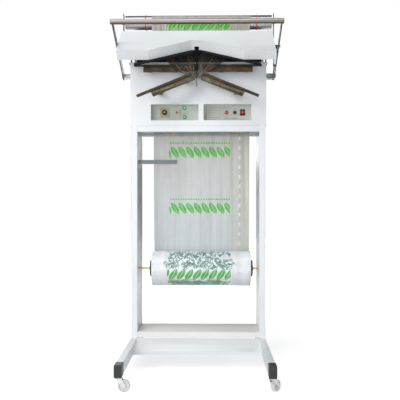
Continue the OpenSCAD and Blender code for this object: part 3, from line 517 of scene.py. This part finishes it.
def leaf_rows(recipe, across, along, shift):
    """Mask of the print: slanted leaves in rows, and a line of beads beside each row.

    With p and q the distances from a leaf's middle, across and along, the leaf is
    |p| < w (1 - (q / h)^2) with a bare midrib.
    """
    q = recipe.minus(recipe.repeat(recipe.plus(along, shift), ROW_PITCH), ROW_PITCH / 2)
    slanted = recipe.plus(across, recipe.times(q, 0.5))
    p = recipe.off(recipe.repeat(slanted, LEAF_PITCH), LEAF_PITCH / 2)
    arch = recipe.math("POWER", recipe.math("DIVIDE", q, 0.033), 2)
    blade = recipe.below(p, recipe.times(recipe.minus(1.0, arch), 0.0172))
    leaf = recipe.times(blade, recipe.above(p, 0.0011))
    line = recipe.below(recipe.off(q, 0.047), 0.0045)
    beads = recipe.above(recipe.repeat(slanted, LEAF_PITCH / 3), LEAF_PITCH / 7)
    inside = recipe.below(recipe.off(across, -PRINT_SHIFT), 0.160)
    return recipe.times(inside, recipe.most(leaf, recipe.times(line, beads)))


def layers_below(recipe, across, along, plain, crumple):
    """The print of a roll's deeper layers, in ragged green patches, and painted highlights along its
    creases.
    """
    ragged = recipe.spread(recipe.noise(1.0, 3.0, (17, 14, 1), "UV", 0.6), -0.045, 0.045)
    middle = recipe.off(across, -PRINT_SHIFT)
    core = recipe.remap(recipe.plus(middle, ragged), 0.135, 0.155, 1.0, 0.0)
    # Upper and lower bands of the roll, where the deeper print shows through.
    torn = recipe.times(ragged, 0.4)
    upper = recipe.remap(recipe.plus(torn, recipe.off(along, 0.21)), 0.058, 0.068, 1.0, 0.0)
    lower = recipe.remap(recipe.plus(torn, recipe.off(along, 0.39)), 0.040, 0.055, 1.0, 0.0)
    patch = recipe.ramp(crumple, [(0.42, 0.0), (0.47, 1.0), (0.55, 0.8), (0.60, 0.0)])
    deep = recipe.most(
        recipe.times(upper, patch), recipe.times(lower, recipe.spread(crumple, 0.55, 1.0))
    )
    plain = recipe.mix(
        recipe.times(recipe.times(core, deep), 0.94), plain, (0.015, 0.19, 0.14)
    )
    # Pale lines on the creases are painted highlights.
    crease_highlights = recipe.times(core, recipe.remap(crumple, 0.60, 0.66))
    return recipe.mix(crease_highlights, plain, (0.93, 0.96, 0.97))


def edge_and_pockets(recipe, across, along, plain, clouds):
    """The hanging film's olive right side, and a faint painted highlight on each air pocket of its
    column.
    """
    plain = recipe.mix(recipe.remap(across, 0.10, 0.22, 0.0, 0.8), plain, (0.40, 0.40, 0.325))
    # A pale spot on each air pocket is a painted highlight.
    tall = recipe.off(recipe.repeat(along, POCKET_PITCH), POCKET_PITCH / 2)
    spot = recipe.times(
        recipe.remap(tall, 0.006, 0.011, 0.75, 0.0),
        recipe.remap(recipe.off(across, POCKET_X), 0.003, 0.006, 1.0, 0.0),
    )
    pocket_highlight = recipe.times(spot, recipe.spread(clouds, 0.1, 0.9))
    return recipe.mix(pocket_highlight, plain, (0.85, 0.86, 0.84))


def printed_film(name, colour, ink, shift, marks=None):
    """Packing film: soft folds along its run, and rows of leaf and bead motifs.

    The pattern map's first number is the distance across the film and its second the distance
    along it, both in metres. marks are four distances along a hanging film. Between the first
    two and again past the third it is clear, and dark brown with painted shade, where it runs in
    the shade of the hood. Past the fourth its pleats lie close, with a few painted highlights on
    their crests. A film without marks is wound on the roll.
    """
    recipe = Recipe(name)
    across, along = recipe.parts("UV")[:2]
    folds = recipe.noise(1.0, 3.0, (24, 1.4, 1), "UV")
    clouds = recipe.noise(1.0, 4.0, (9, 6, 1), "UV")
    tones = recipe.ramp(folds, [(0.28, 0.80), (0.5, 1.0), (0.70, 1.14)])
    printed = leaf_rows(recipe, across, along, shift)
    if marks is None:
        crumple = recipe.noise(1.0, 6.0, (46, 40, 1), "UV", 1.2)
        plain = recipe.mix(1.0, colour, tones, "MULTIPLY")
        plain = layers_below(recipe, across, along, plain, crumple)
        worn = recipe.spread(crumple, 1.0, 0.80)
        film = recipe.mix(recipe.times(printed, worn), plain, ink)
        recipe.bump(crumple, 0.9, 0.004)
        recipe.finish(Coat_Weight=0.3)
    else:
        start, end, clear, bunched = marks
        # Cooler near the roll, and its own colour from 0.8 m up.
        cool = (0.475, 0.53, 0.555)
        base = recipe.mix(recipe.remap(along, 0.15, 0.80), cool, colour)
        plain = recipe.mix(1.0, base, tones, "MULTIPLY")
        plain = edge_and_pockets(recipe, across, along, plain, clouds)
        worn = recipe.spread(clouds, 0.92, 1.0)
        film = recipe.mix(recipe.times(printed, worn), plain, ink)
        # Where the film runs in the shade of the hood it is made see-through and dark: painted shade.
        hidden = recipe.times(
            recipe.remap(along, start, start + 0.03), recipe.remap(along, end - 0.03, end, 1.0, 0.0)
        )
        past = recipe.remap(along, clear, clear + 0.03)
        clear_in_painted_shade = recipe.most(hidden, past)
        pleats = recipe.noise(1.0, 4.0, (46, 1.2, 1), "UV")
        # Bright streaks on the gathered pleats, stronger to the right: painted highlights.
        right = recipe.times(past, recipe.remap(across, 0.0, 0.06, 0.12, 1.0))
        painted_glint = recipe.times(recipe.remap(pleats, 0.61, 0.67), right)
        # Dark teal to brown for the clear stretches: painted shade.
        painted_shade_brown = recipe.ramp(
            pleats,
            [(0.38, (0.004, 0.014, 0.016)), (0.5, (0.042, 0.027, 0.014)),
             (0.62, (0.15, 0.095, 0.05))],
        )
        film = recipe.mix(painted_glint, recipe.mix(clear_in_painted_shade, film, painted_shade_brown), (0.80, 0.84, 0.88))
        close = recipe.times(recipe.remap(along, bunched, bunched + 0.05), 0.62)
        veil = recipe.times(recipe.plus(recipe.spread(pleats, 0.02, 0.22), close), clear_in_painted_shade)
        body = recipe.most(recipe.spread(folds, 0.80, 0.92), printed)
        solid = recipe.times(body, recipe.minus(1.0, clear_in_painted_shade))
        recipe.bump(folds, 0.35, 0.0012)
        recipe.finish(Alpha=recipe.most(recipe.plus(solid, veil), painted_glint))
    return recipe.finish(
        Base_Color=film,
        Roughness=recipe.spread(clouds, 0.16, 0.34),
        Coat_Roughness=0.1,
        Specular_IOR_Level=0.35,
    )


def reflection_painted_tube(name, centre, radius):
    """Polished tube with a painted reflection: tones round its section, dark below, warm brown, grey
    and bright on top.

    The tone is read from 0.5 + 0.5 * (z - centre) / radius, from 0 to 1.
    """
    recipe = Recipe(name)
    level = recipe.math("DIVIDE", recipe.minus(recipe.parts()[2], centre), radius)
    # The bands round the section are a painted reflection, fixed to the tube's height.
    tones = recipe.ramp(
        recipe.plus(recipe.times(level, 0.5), 0.5),
        [
            (0.10, (0.015, 0.04, 0.05)),
            (0.16, (0.13, 0.080, 0.035)),
            (0.36, (0.235, 0.155, 0.072)),
            (0.44, (0.15, 0.14, 0.13)),
            (0.56, (0.36, 0.34, 0.40)),
            (0.74, (0.40, 0.38, 0.42)),
            (0.88, (0.10, 0.11, 0.12)),
        ],
    )
    lines = recipe.noise(24.0, 4.0, (1, 50, 50))
    return recipe.finish(
        Base_Color=recipe.mix(recipe.spread(lines, 0.0, 0.2), tones, (0.4, 0.4, 0.4)),
        Roughness=recipe.spread(lines, 0.24, 0.36),
        Metallic=0.55,
    )


def banded_spring(name, start, direction):
    """Gas spring: dark eye, bright cylinder, a brass band and a dark end, by distance along it."""
    length = 0.1005
    recipe = Recipe(name)
    offset = recipe.vector("SUBTRACT", "Vector", recipe.place["Object"], start)
    along = recipe.vector("DOT_PRODUCT", "Value", offset, direction)
    bands = recipe.ramp(
        recipe.math("DIVIDE", along, length),
        [(0.0, (0.06, 0.07, 0.08)), (0.10, (0.62, 0.70, 0.80)), (0.955, (0.55, 0.38, 0.14))],
        "CONSTANT",
    )
    return recipe.finish(
        Base_Color=recipe.mix(recipe.above(along, length), bands, (0.05, 0.055, 0.06)),
        Roughness=recipe.spread(recipe.noise(90.0), 0.14, 0.26),
        Metallic=0.85,
    )


def capped(name, centre, axis, radius, colour, cap, metal=0.0, glow=0.0):
    """Dark moulding whose middle, inside a small radius of an axis, is of another colour."""
    recipe = Recipe(name)
    offset = recipe.vector("SUBTRACT", "Vector", recipe.place["Object"], centre)
    across = [0.0 if k == axis else 1.0 for k in range(3)]
    distance = recipe.vector(
        "LENGTH", "Value", recipe.vector("MULTIPLY", "Vector", offset, across)
    )
    middle = recipe.below(distance, radius)
    drift = recipe.noise(40.0)
    if metal:
        recipe.finish(Metallic=recipe.times(middle, metal))
    if glow:
        recipe.finish(Emission_Color=cap, Emission_Strength=recipe.times(middle, glow))
    return recipe.finish(
        Base_Color=recipe.mix(middle, recipe.tones(drift, colour, 0.85, 1.4), cap),
        Roughness=recipe.spread(drift, 0.28, 0.42),
        Specular_IOR_Level=0.3,
    )


def dress(material, *names):
    """Gives CAD nodes a material in every slot."""
    for name in names:
        mesh = NODES[name].data
        if not mesh.materials:
            mesh.materials.append(material)
        for index in range(len(mesh.materials)):
            mesh.materials[index] = material


# ---------------------------------------------------------------- operators


class SEALER_OT_paint(bpy.types.Operator):
    """Gives every carried CAD node its finish"""

    bl_idname = "sealer.paint"
    bl_label = "Finishes"

    def execute(self, context):
        colours = context.scene.sealer_finish
        corners = ("fl", "fr", "rl", "rr")
        dress(
            coat_of_paint("powder_coat", tuple(colours.paint)),
            "legs", "columns", "cross_beams", "foot_plate", "cabinet_shell", "back_cover",
            "rear_guard", "control_frames", "hood",
        )
        dress(coat_of_paint("shelf_laminate", (0.82, 0.81, 0.79), 0.5), "shelf_tray")
        dress(coat_of_paint("slate_paint", (0.095, 0.128, 0.158), 0.35), "rest_bar")
        dress(coat_of_paint("core_lacquer", (0.08, 0.085, 0.09), 0.4), "transformer")
        dress(
            coat_of_paint("grey_enamel", (0.055, 0.060, 0.063), 0.34),
            "side_arms", "roller_brackets",
        )
        # Near-black teal; on the upper jaws under the hood this darkness is painted shade.
        dress(
            moulded("ink_steel_and_painted_shade", (0.0035, 0.007, 0.008), 0.55, gloss=0.1),
            "centre_block", "hanger_rod", "upper_jaws", "jaw_screws",
        )
        # The guard liner's near-black teal is painted shade for the space under the hood.
        dress(moulded("liner", (0.003, 0.018, 0.021), 0.7, gloss=0.1), "guard_liner")
        dress(moulded("black_plastic", (0.012, 0.012, 0.013), 0.4), "leg_caps", "power_inlet")
        dress(
            moulded("switch_black", (0.004, 0.004, 0.005), 0.3),
            "fuse_holder", "fuse_cap", "rocker_frame",
        )
        dress(moulded("control_panel", (0.50, 0.54, 0.48), 0.5), "control_panels")
        dress(moulded("timer_case", (0.40, 0.365, 0.19), 0.4), "timer_body")
        dress(
            moulded("white_nylon", (0.78, 0.78, 0.76), 0.3, 300.0, 0.2),
            *("caster_wheel_" + corner for corner in corners),
        )
        dress(
            capped("flange_black", ROLL_AXIS, 0, 0.0102, (0.012, 0.012, 0.013), (0.42, 0.20, 0.10),
                   metal=0.9),
            "roll_flanges",
        )
        dress(
            capped("timer_knob", joint("timer_turn"), 1, 0.0042, (0.004, 0.011, 0.010),
                   (0.50, 0.36, 0.24)),
            "timer_dial",
        )
        dress(
            capped("rocker_red", joint("rocker_throw"), 1, 0.0085, (0.003, 0.003, 0.003),
                   (0.75, 0.012, 0.012), glow=0.25),
            "rocker_paddle",
        )
        dress(
            bare_metal("zinc_plate", (0.62, 0.64, 0.66), 0.34, (12, 12, 12)),
            "caster_stems", "shelf_bolts",
            *("caster_fork_" + corner for corner in corners),
        )
        dress(
            bare_metal("satin_steel", (0.58, 0.60, 0.61), 0.26),
            "roller_shaft", "hinge_pins", "hinge_blocks",
        )
        dress(
            bare_metal("bronzed", (0.30, 0.24, 0.13), 0.2, (8, 8, 8)),
            "toggle_body", "toggle_lever",
        )
        dress(bare_metal("black_nickel", (0.05, 0.055, 0.05), 0.22, (8, 8, 8)), "lamp_bezels")
        dress(bare_metal("brass", (0.60, 0.42, 0.18), 0.3), "roll_axle", "head_bolts")
        dress(bare_metal("rod_steel", (0.16, 0.17, 0.18), 0.18), "gas_rod")
        dress(
            banded_roller("roller_skin", (0.50, 0.51, 0.52), (0.75, 0.12, 0.03)), "top_roller"
        )
        # The handle's tones are a painted reflection.
        low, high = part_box("handle_tube")
        dress(reflection_painted_tube("handle_painted_reflection", (low.z + high.z) / 2, (high.z - low.z) / 2), "handle_tube")
        toward = [-c for c in joint("gas_rod_slide", "axis")]
        dress(banded_spring("spring_bands", joint("gas_cylinder_swing"), toward), "gas_cylinder")
        points = np.array([tuple(v.co) for v in NODES["lower_jaws"].data.vertices])
        ridge = float(np.max(points[:, 2] + JAW_SLOPE * np.abs(points[:, 0])))
        dress(
            glass_cloth("jaw_cover", tuple(colours.cover), 0.45, ridge, JAW_SLOPE, 0.042),
            "lower_jaws",
        )
        bar_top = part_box("guide_bars")[1].z
        bar_colour, reach = (0.072, 0.052, 0.028), (0.10, 0.23)
        dress(
            glass_cloth("guide_cover", bar_colour, 0.45, bar_top, 0.0, 0.028, reach), "guide_bars"
        )
        dress(
            glass_cloth("strip_cover", (0.045, 0.028, 0.018), 0.4),
            "lower_strips", "guide_strips", "upper_heaters",
        )
        dress(lamp_glass("green_glass", (0.0, 0.66, 0.10)), "green_lenses")
        dress(lamp_glass("red_glass", (0.72, 0.008, 0.008)), "red_lens")
        return {"FINISHED"}


class SEALER_OT_film_roll(bpy.types.Operator):
    """Winds the film roll with dents and uneven end layers, and puts a cup at each end"""

    bl_idname = "sealer.film_roll"
    bl_label = "Film roll"

    def execute(self, context):
        colours, sizes = context.scene.sealer_finish, context.scene.sealer_film
        # The profile runs from the bore at one end, out over the roll and back to the bore at
        # the other end, and closes through the bore. Its points are (distance along, radius).
        bore, end_steps, steps = 0.0203, 26, 170
        out = np.linspace(bore, ROLL_RADIUS, end_steps)
        end = np.full(end_steps, FILM_HALF)
        along = np.linspace(-FILM_HALF, FILM_HALF, steps)[1:-1]
        x = np.concatenate([-end, along, end])
        r = np.concatenate([out, np.full(steps - 2, ROLL_RADIUS), out[::-1]])
        angle = np.linspace(0, 2 * np.pi, 160, endpoint=False)
        a, x_grid = np.meshgrid(angle, x, indexing="ij")
        r_grid = np.broadcast_to(r, a.shape)
        # Layers at the ends stand in and out by up to 1.2 mm, as rings.
        rings = 0.0006 * (1 + np.sin(r_grid * 2400) * np.sin(r_grid * 790 + 2 * a))
        at_end = (np.abs(np.abs(x_grid) - FILM_HALF) < 1e-9) & (r_grid < ROLL_RADIUS)
        x_grid = np.where(at_end, x_grid * (1 - rings / FILM_HALF), x_grid)
        # Dents: crossing slanted waves, deepest where two crests meet.
        u = x_grid * 38
        dents = (
            np.abs(np.sin(u * 0.9 + 2.2 * np.sin(2 * a + u * 0.31)))
            + 0.7 * np.abs(np.sin(3 * a + 1.7 * np.sin(u * 0.55)))
            + 0.5 * np.abs(np.sin(5 * a - u * 1.3 + np.sin(u)))
        ) / 2.2
        outside = r_grid > ROLL_RADIUS - 1e-6
        crumpled = 0.2 + 0.8 * np.clip((0.185 - np.abs(x_grid + PRINT_SHIFT)) / 0.03, 0, 1)
        fade = np.clip((FILM_HALF - np.abs(x_grid)) / 0.02, 0, 1) * crumpled
        r_grid = np.where(outside, r_grid - sizes.dent * dents * fade, r_grid)
        points = np.stack(
            [
                FILM_X + x_grid,
                ROLL_AXIS[1] + r_grid * np.cos(a),
                ROLL_AXIS[2] + r_grid * np.sin(a),
            ],
            -1,
        )
        skin = surface(
            "film_roll_skin",
            points,
            printed_film("rolled_film", (0.80, 0.83, 0.86), tuple(colours.print_ink), -0.16),
            wrap=True,
            uv=np.stack([x_grid, a * ROLL_RADIUS], -1),
        )
        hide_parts("film_roll")
        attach(skin, "film_roll")
        # Rubber cups on the flanges: a rounded plate 8 mm thick round the boss.
        rim = FLANGE_RADIUS
        rubber = moulded("cup_rubber", (0.012, 0.012, 0.012), 0.5)
        for side, where in ((-1, "left"), (1, "right")):
            cup = turned(
                "flange_cup_" + where,
                [(0.0, 0.0108), (0.0, rim - 0.001), (0.0006, rim), (0.0068, rim),
                 (0.0078, rim - 0.001), (0.0080, rim - 0.003), (0.0066, rim - 0.006),
                 (0.0066, 0.016), (0.0078, 0.014), (0.0078, 0.0108)],
                [(FILM_X + side * (FILM_HALF + 0.00405), *ROLL_AXIS[1:])],
                (side, 0, 0),
                rubber,
                96,
            )
            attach(cup, "film_roll")
        return {"FINISHED"}


class SEALER_OT_film_web(bpy.types.Operator):
    """Hangs the film from the roll over the top roller to the jaws"""

    bl_idname = "sealer.film_web"
    bl_label = "Film web"

    def execute(self, context):
        colours, sizes = context.scene.sealer_finish, context.scene.sealer_film
        wrap = ROLLER_RADIUS + 0.0008
        # Path of the film's middle line as (y, z): up from the roll, round the roller, down
        # through the stations of the gathered run and over the jaws to a tip.
        up = np.linspace(
            [ROLL_AXIS[1] + ROLL_RADIUS + 0.0009, ROLL_AXIS[2]],
            [ROLLER_AXIS[1] + wrap, ROLLER_AXIS[2]],
            220,
        )
        turn = np.linspace(0, np.pi, 24)[1:]
        over = np.stack(
            [ROLLER_AXIS[1] + wrap * np.cos(turn), ROLLER_AXIS[2] + wrap * np.sin(turn)], -1
        )
        # Distance behind the columns' front, height, left edge, right edge, left and right
        # edge of the parting.
        stations = np.array(
            [
                [over[-1][0] - COLUMN_Y, ROLLER_AXIS[2], ROLL_LOW.x, ROLL_HIGH.x, FILM_X, FILM_X],
                [0.0204, 1.600, -0.230, 0.250, ROD_X, ROD_X],
                [0.0120, 1.588, -0.223, 0.238, -0.0122, 0.0002],
                [-0.0496, 1.508, -0.180, 0.157, -0.0122, 0.0002],
                [-0.0696, 1.479, -0.150, 0.125, -0.0122, 0.0002],
                [-0.0746, 1.441, -0.115, 0.075, -0.0122, 0.0002],
                [-0.0834, 1.4319, -0.103, 0.058, -0.0080, -0.0040],
                [-0.0908, 1.4125, -0.062, 0.028, ROD_X, ROD_X],
                [-0.0980, 1.3936, -0.018, 0.004, ROD_X, ROD_X],
            ]
        )
        last = len(stations) - 1
        t = np.linspace(0, last, 101)[1:]
        run_down = np.stack([np.interp(t, range(last + 1), column) for column in stations.T], -1)
        down = run_down[:, :2] + [COLUMN_Y, 0]
        path = np.concatenate([up, over, down])
        step = np.linalg.norm(np.diff(path, axis=0), axis=1)
        run = np.concatenate([[0], np.cumsum(step)])
        first = len(up) + len(over)
        edges = np.empty((len(path), 4))
        edges[:first] = [ROLL_LOW.x, ROLL_HIGH.x, FILM_X, FILM_X]
        edges[first:] = run_down[:, 2:]
        left, right, middle_left, middle_right = edges.T[:, :, None]
        # Across: 0 to 1 is the left half, 1 to 2 the right half; they part round the rod.
        count = 100
        across = np.concatenate([np.linspace(0, 1, count), np.linspace(1, 2, count)])
        x = np.where(
            np.arange(2 * count) < count,
            left + (middle_left - left) * across,
            middle_right + (right - middle_right) * (across - 1),
        )
        tangent = np.gradient(path, axis=0)
        tangent /= np.linalg.norm(tangent, axis=1)[:, None]
        normal = np.stack([-tangent[:, 1], tangent[:, 0]], -1)
        s = run[:, None]
        f = (across[None, :] - 1) * FILM_HALF
        # Folds: long slanting waves, deeper towards the right edge.
        waves = (
            np.sin(f * 62 + 0.9 * np.sin(s * 4.0))
            + 0.7 * np.sin(f * 118 + 1.6 * np.sin(s * 2.3 + 1) + 2)
            + 0.3 * np.sin(f * 210 - 1.1 * np.sin(s * 5.2) + s * 3)
        ) / 2.0
        uneven = 0.45 + 0.75 * np.clip((f + 0.04) / 0.2, 0, 1)
        rise = np.clip(s / 0.12, 0, 1) * np.clip((run[len(up) - 1] - s) / 0.25, 0, 1)
        fall = np.clip((s - run[first - 1]) / 0.10, 0, 1)
        fall = fall * np.clip((path[:, 1:] - 1.445) / 0.03, 0, 1)
        pleats = np.sin(f * 330 + 2 * np.sin(f * 70)) * 0.7 + 0.3 * waves
        shift = np.where(
            np.arange(len(path))[:, None] < first,
            sizes.wrinkle * rise * uneven * waves,
            sizes.gather * fall * pleats,
        )
        # The air pockets: exp(-d^2) across the film times the upper half of a cosine along it.
        beat = np.clip(np.cos(s * 2 * np.pi / POCKET_PITCH), 0, 1)
        pocket = np.exp(-(((f - POCKET_X) / 0.006) ** 2)) * beat
        shift = shift + 0.0022 * pocket * rise
        points = np.stack(
            [x, path[:, :1] + shift * normal[:, :1], path[:, 1:] + shift * normal[:, 1:]], -1
        )
        keep = np.ones((len(path) - 1, 2 * count - 1), bool)
        keep[:, count - 1] = False
        # The pattern is 96 mm further on past the hidden stretch inside the cabinet.
        ahead = np.clip((s - 0.85) / 0.3, 0, 1)
        v = s + 0.096 * ahead * ahead * (3 - 2 * ahead)
        # Distances along the film at four heights: on its way up it is clear and dark with painted
        # shade between the first two, and on its way down it is clear and dark with painted shade
        # past the third, and gathered close past the fourth.
        marks = [float(np.interp(z, up[:, 1], v[: len(up), 0])) for z in (1.46, 1.69)]
        marks += [float(v[first:, 0][np.argmax(down[:, 1] < z)]) for z in (1.655, 1.545)]
        film, ink = tuple(colours.film), tuple(colours.print_ink)
        web = surface(
            "film_web_sheet",
            points,
            printed_film("hanging_film", film, ink, -0.163, marks),
            uv=np.stack(np.broadcast_arrays(f, v), -1),
            keep=keep,
        )
        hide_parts("film_web")
        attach(web, "stand")
        return {"FINISHED"}


class SEALER_OT_fittings(bpy.types.Operator):
    """Adds the timer's ticks, the panels' marks, the cover's screws and the inlet's pins"""

    bl_idname = "sealer.fittings"
    bl_label = "Fittings"

    def execute(self, context):
        made = []
        # Ticks over 300 degrees, 15.8 mm from the knob's axis, longer at every fifth. Each is
        # turned about the axis by its own angle.
        dial, face = joint("timer_turn"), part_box("timer_body")[0].y
        count = 31
        angle = np.radians(np.linspace(-150, 150, count))
        sine, cosine = np.sin(angle), np.cos(angle)
        radius = 0.0158
        turns = np.zeros((count, 3, 3))
        turns[:, 0, 0] = turns[:, 2, 2] = cosine
        turns[:, 0, 2], turns[:, 2, 0], turns[:, 1, 1] = sine, -sine, 1
        longer = np.where(np.arange(count) % 5 == 0, 0.0015, 0.0008)
        ticks = boxes(
            "timer_ticks",
            [(dial[0] + radius * x, face - 0.0001, dial[2] + radius * z)
             for x, z in zip(sine, cosine)],
            [(0.0003, 0.0002, tall) for tall in longer],
            moulded("mark_black", (0.02, 0.02, 0.022), 0.5),
            turns,
        )
        made.append((ticks, "black_plastic"))
        # Two rows of dashes by each control, a bracket beside the toggle, and a ruled block of
        # lines in a thin frame. Each is (x, z, half width, half height).
        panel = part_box("control_panels")[0].y - 0.0001
        captions = [
            (x + (k - 1.5) * 0.0062, z - row * 0.0034, (0.0026, 0.0019)[(k + row) % 2], 0.0007)
            for x, z in (
                (-0.171, 1.2105),
                (-0.069, 1.2475),
                (-0.069, 1.2085),
                (0.140, 1.2205),
                (0.182, 1.2205),
                (0.222, 1.2165),
            )
            for k in range(4)
            for row in (0, 1)
        ]
        captions += [
            (-0.0925, 1.2435, 0.0006, 0.020),
            (-0.0960, 1.2630, 0.0035, 0.0006),
            (-0.0960, 1.2240, 0.0035, 0.0006),
            (0.0745, 1.2765, 0.0340, 0.0006),
            (0.0745, 1.2085, 0.0340, 0.0006),
            (0.0405, 1.2425, 0.0006, 0.0340),
            (0.1085, 1.2425, 0.0006, 0.0340),
        ]
        ruled = [
            (0.0745 - 0.028 + half, 1.269 - k * 0.0088, half, 0.0009)
            for k, half in enumerate((0.024, 0.028, 0.021, 0.027, 0.019, 0.028, 0.023))
        ]
        for title, rows, colour in (
            ("panel_captions", captions, (0.40, 0.10, 0.085)),
            ("panel_rules", ruled, (0.20, 0.21, 0.20)),
        ):
            marks = boxes(
                title,
                [(x, panel, z) for x, z, _, _ in rows],
                [(wide, 0.0002, tall) for _, _, wide, tall in rows],
                moulded(title + "_ink", colour, 0.6),
            )
            made.append((marks, "black_plastic"))
        # Pan heads: a dome 2.2 mm high on a rim of 4.3 mm radius, with a socket in its middle.
        low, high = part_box("back_cover")
        zinc = bare_metal("screw_zinc", (0.58, 0.60, 0.62), 0.3, (20, 20, 20))
        heads = turned(
            "cover_screws",
            [(0, 0.0043), (0.0009, 0.0043), (0.0017, 0.0036), (0.0022, 0.0024),
             (0.0022, 0.0014), (0.0010, 0.0012), (0.0010, 0.0001), (0, 0.0001)],
            [(x, high.y, z)
             for x in (low.x + 0.012, high.x - 0.012)
             for z in np.linspace(low.z + 0.015, high.z - 0.015, 3)],
            (0, 1, 0),
            zinc,
            24,
        )
        low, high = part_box("power_inlet")
        middle = (low + high) / 2
        pins = boxes(
            "inlet_pins",
            [(middle.x + dx, high.y - 0.0105, middle.z + dz)
             for dx, dz in ((-0.007, -0.002), (0, 0.0025), (0.007, -0.002))],
            [(0.001, 0.0068, 0.0022)] * 3,
            zinc,
        )
        made += [(heads, "zinc"), (pins, "zinc")]
        for piece, slot in made:
            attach(piece, "stand")
        return {"FINISHED"}


class SEALER_OT_stage(bpy.types.Operator):
    """Sets the floor, the lamps and the camera"""

    bl_idname = "sealer.stage"
    bl_label = "Stage"

    def execute(self, context):
        scene = context.scene
        settings = scene.sealer_stage
        scene.view_settings.view_transform = "Standard"
        recipe = Recipe("studio_floor")
        rays = recipe.tree.nodes.new("ShaderNodeLightPath").outputs
        seen = recipe.most(
            recipe.most(rays["Is Camera Ray"], rays["Is Glossy Ray"]),
            rays["Is Transmission Ray"],
        )
        # The floor shows a soft shadow near the machine and plain white further out.
        away = recipe.vector("LENGTH", "Value", recipe.place["Object"])
        recipe.finish(
            Base_Color=recipe.ramp(recipe.noise(3.0), [(0.3, 0.54), (0.7, 0.56)]),
            Roughness=0.9,
            Specular_IOR_Level=0.0,
            Emission_Color=(1.0, 1.0, 1.0),
            Emission_Strength=recipe.times(seen, recipe.remap(away, 0.7, 2.2, 0.70, 1.0)),
        )
        edge = np.array([-12.0, 12.0])
        x, y = np.meshgrid(edge, edge, indexing="ij")
        floor = surface("studio_floor", np.stack([x, y, np.zeros((2, 2))], -1), recipe.material)

        world = bpy.data.worlds.new("studio_sky")
        scene.world = world
        world.use_nodes = True
        tree = world.node_tree
        tree.nodes.clear()
        path, seen, lit, shown, mixer, output = (
            tree.nodes.new("ShaderNode" + kind)
            for kind in ("LightPath", "Math", "Background", "Background", "MixShader", "OutputWorld")
        )
        seen.operation = "MAXIMUM"
        lit.inputs["Strength"].default_value = settings.world_level
        lit.inputs["Color"].default_value = (0.94, 0.97, 1.0, 1)
        shown.inputs["Strength"].default_value = 1.0
        shown.inputs["Color"].default_value = (1, 1, 1, 1)
        tree.links.new(path.outputs["Is Camera Ray"], seen.inputs[0])
        tree.links.new(path.outputs["Is Transmission Ray"], seen.inputs[1])
        for index, node in enumerate((seen, lit, shown)):
            tree.links.new(node.outputs[0], mixer.inputs[index])
        tree.links.new(mixer.outputs[0], output.inputs[0])

        # Each lamp's place, the height that it is aimed at, its share of the key power, its size.
        for name, place, aim_height, share, size in (
            ("key_lamp", (-2.4, -3.4, 2.7), 1.0, 1.0, 1.6),
            ("front_lamp", (-0.8, -4.2, 0.9), 1.0, 0.84, 2.2),
            ("low_lamp", (0.3, -3.5, 0.45), 0.2, 0.28, 1.4),
            ("top_lamp", (-0.5, -1.6, 3.9), 1.0, 0.95, 2.6),
            ("side_lamp", (3.2, 0.15, 1.1), 0.9, 0.30, 0.9),
            ("back_lamp", (-0.7, 3.5, 2.2), 1.0, 0.48, 2.0),
        ):
            lamp = bpy.data.lights.new(name, "AREA")
            lamp.energy = settings.key_power * share
            lamp.size = size
            lamp_object = bpy.data.objects.new(name, lamp)
            lamp_object.location = place
            aim = Vector((0, 0, aim_height)) - Vector(place)
            lamp_object.rotation_euler = aim.to_track_quat("-Z", "Y").to_euler()
            scene.collection.objects.link(lamp_object)

        lens = bpy.data.cameras.new("camera")
        lens.lens = settings.focal_length
        lens.sensor_width = 36.0
        lens.shift_y = 0.02
        camera = bpy.data.objects.new("camera", lens)
        camera.location = (0.069, -2.870, 0.765)
        camera.rotation_euler = (math.radians(90), 0, math.radians(1.146))
        scene.collection.objects.link(camera)
        scene.camera = camera
        return {"FINISHED"}


class SEALER_PT_panel(bpy.types.Panel):
    """Lists the steps that build the sealer"""

    bl_idname = "SEALER_PT_panel"
    bl_label = "Impulse Heat Sealer"
    bl_space_type = "VIEW_3D"
    bl_region_type = "UI"
    bl_category = "Sealer"

    def draw(self, context):
        scene = context.scene
        for group in (scene.sealer_finish, scene.sealer_film, scene.sealer_stage):
            for name in group.__annotations__:
                self.layout.prop(group, name)
        for operator in OPERATORS:
            self.layout.operator(operator.bl_idname)


GROUPS = {
    "sealer_finish": SealerFinish,
    "sealer_film": SealerFilm,
    "sealer_stage": SealerStage,
}
OPERATORS = (
    SEALER_OT_paint,
    SEALER_OT_film_roll,
    SEALER_OT_film_web,
    SEALER_OT_fittings,
    SEALER_OT_stage,
)


def register():
    for name, group in GROUPS.items():
        bpy.utils.register_class(group)
        setattr(bpy.types.Scene, name, bpy.props.PointerProperty(type=group))
    for operator in OPERATORS:
        bpy.utils.register_class(operator)
    bpy.utils.register_class(SEALER_PT_panel)


def unregister():
    bpy.utils.unregister_class(SEALER_PT_panel)
    for operator in reversed(OPERATORS):
        bpy.utils.unregister_class(operator)
    for name, group in GROUPS.items():
        delattr(bpy.types.Scene, name)
        bpy.utils.unregister_class(group)


def main():
    register()
    for operator in OPERATORS:
        group, name = operator.bl_idname.split(".")
        getattr(getattr(bpy.ops, group), name)()


if __name__ == "__main__":
    main()
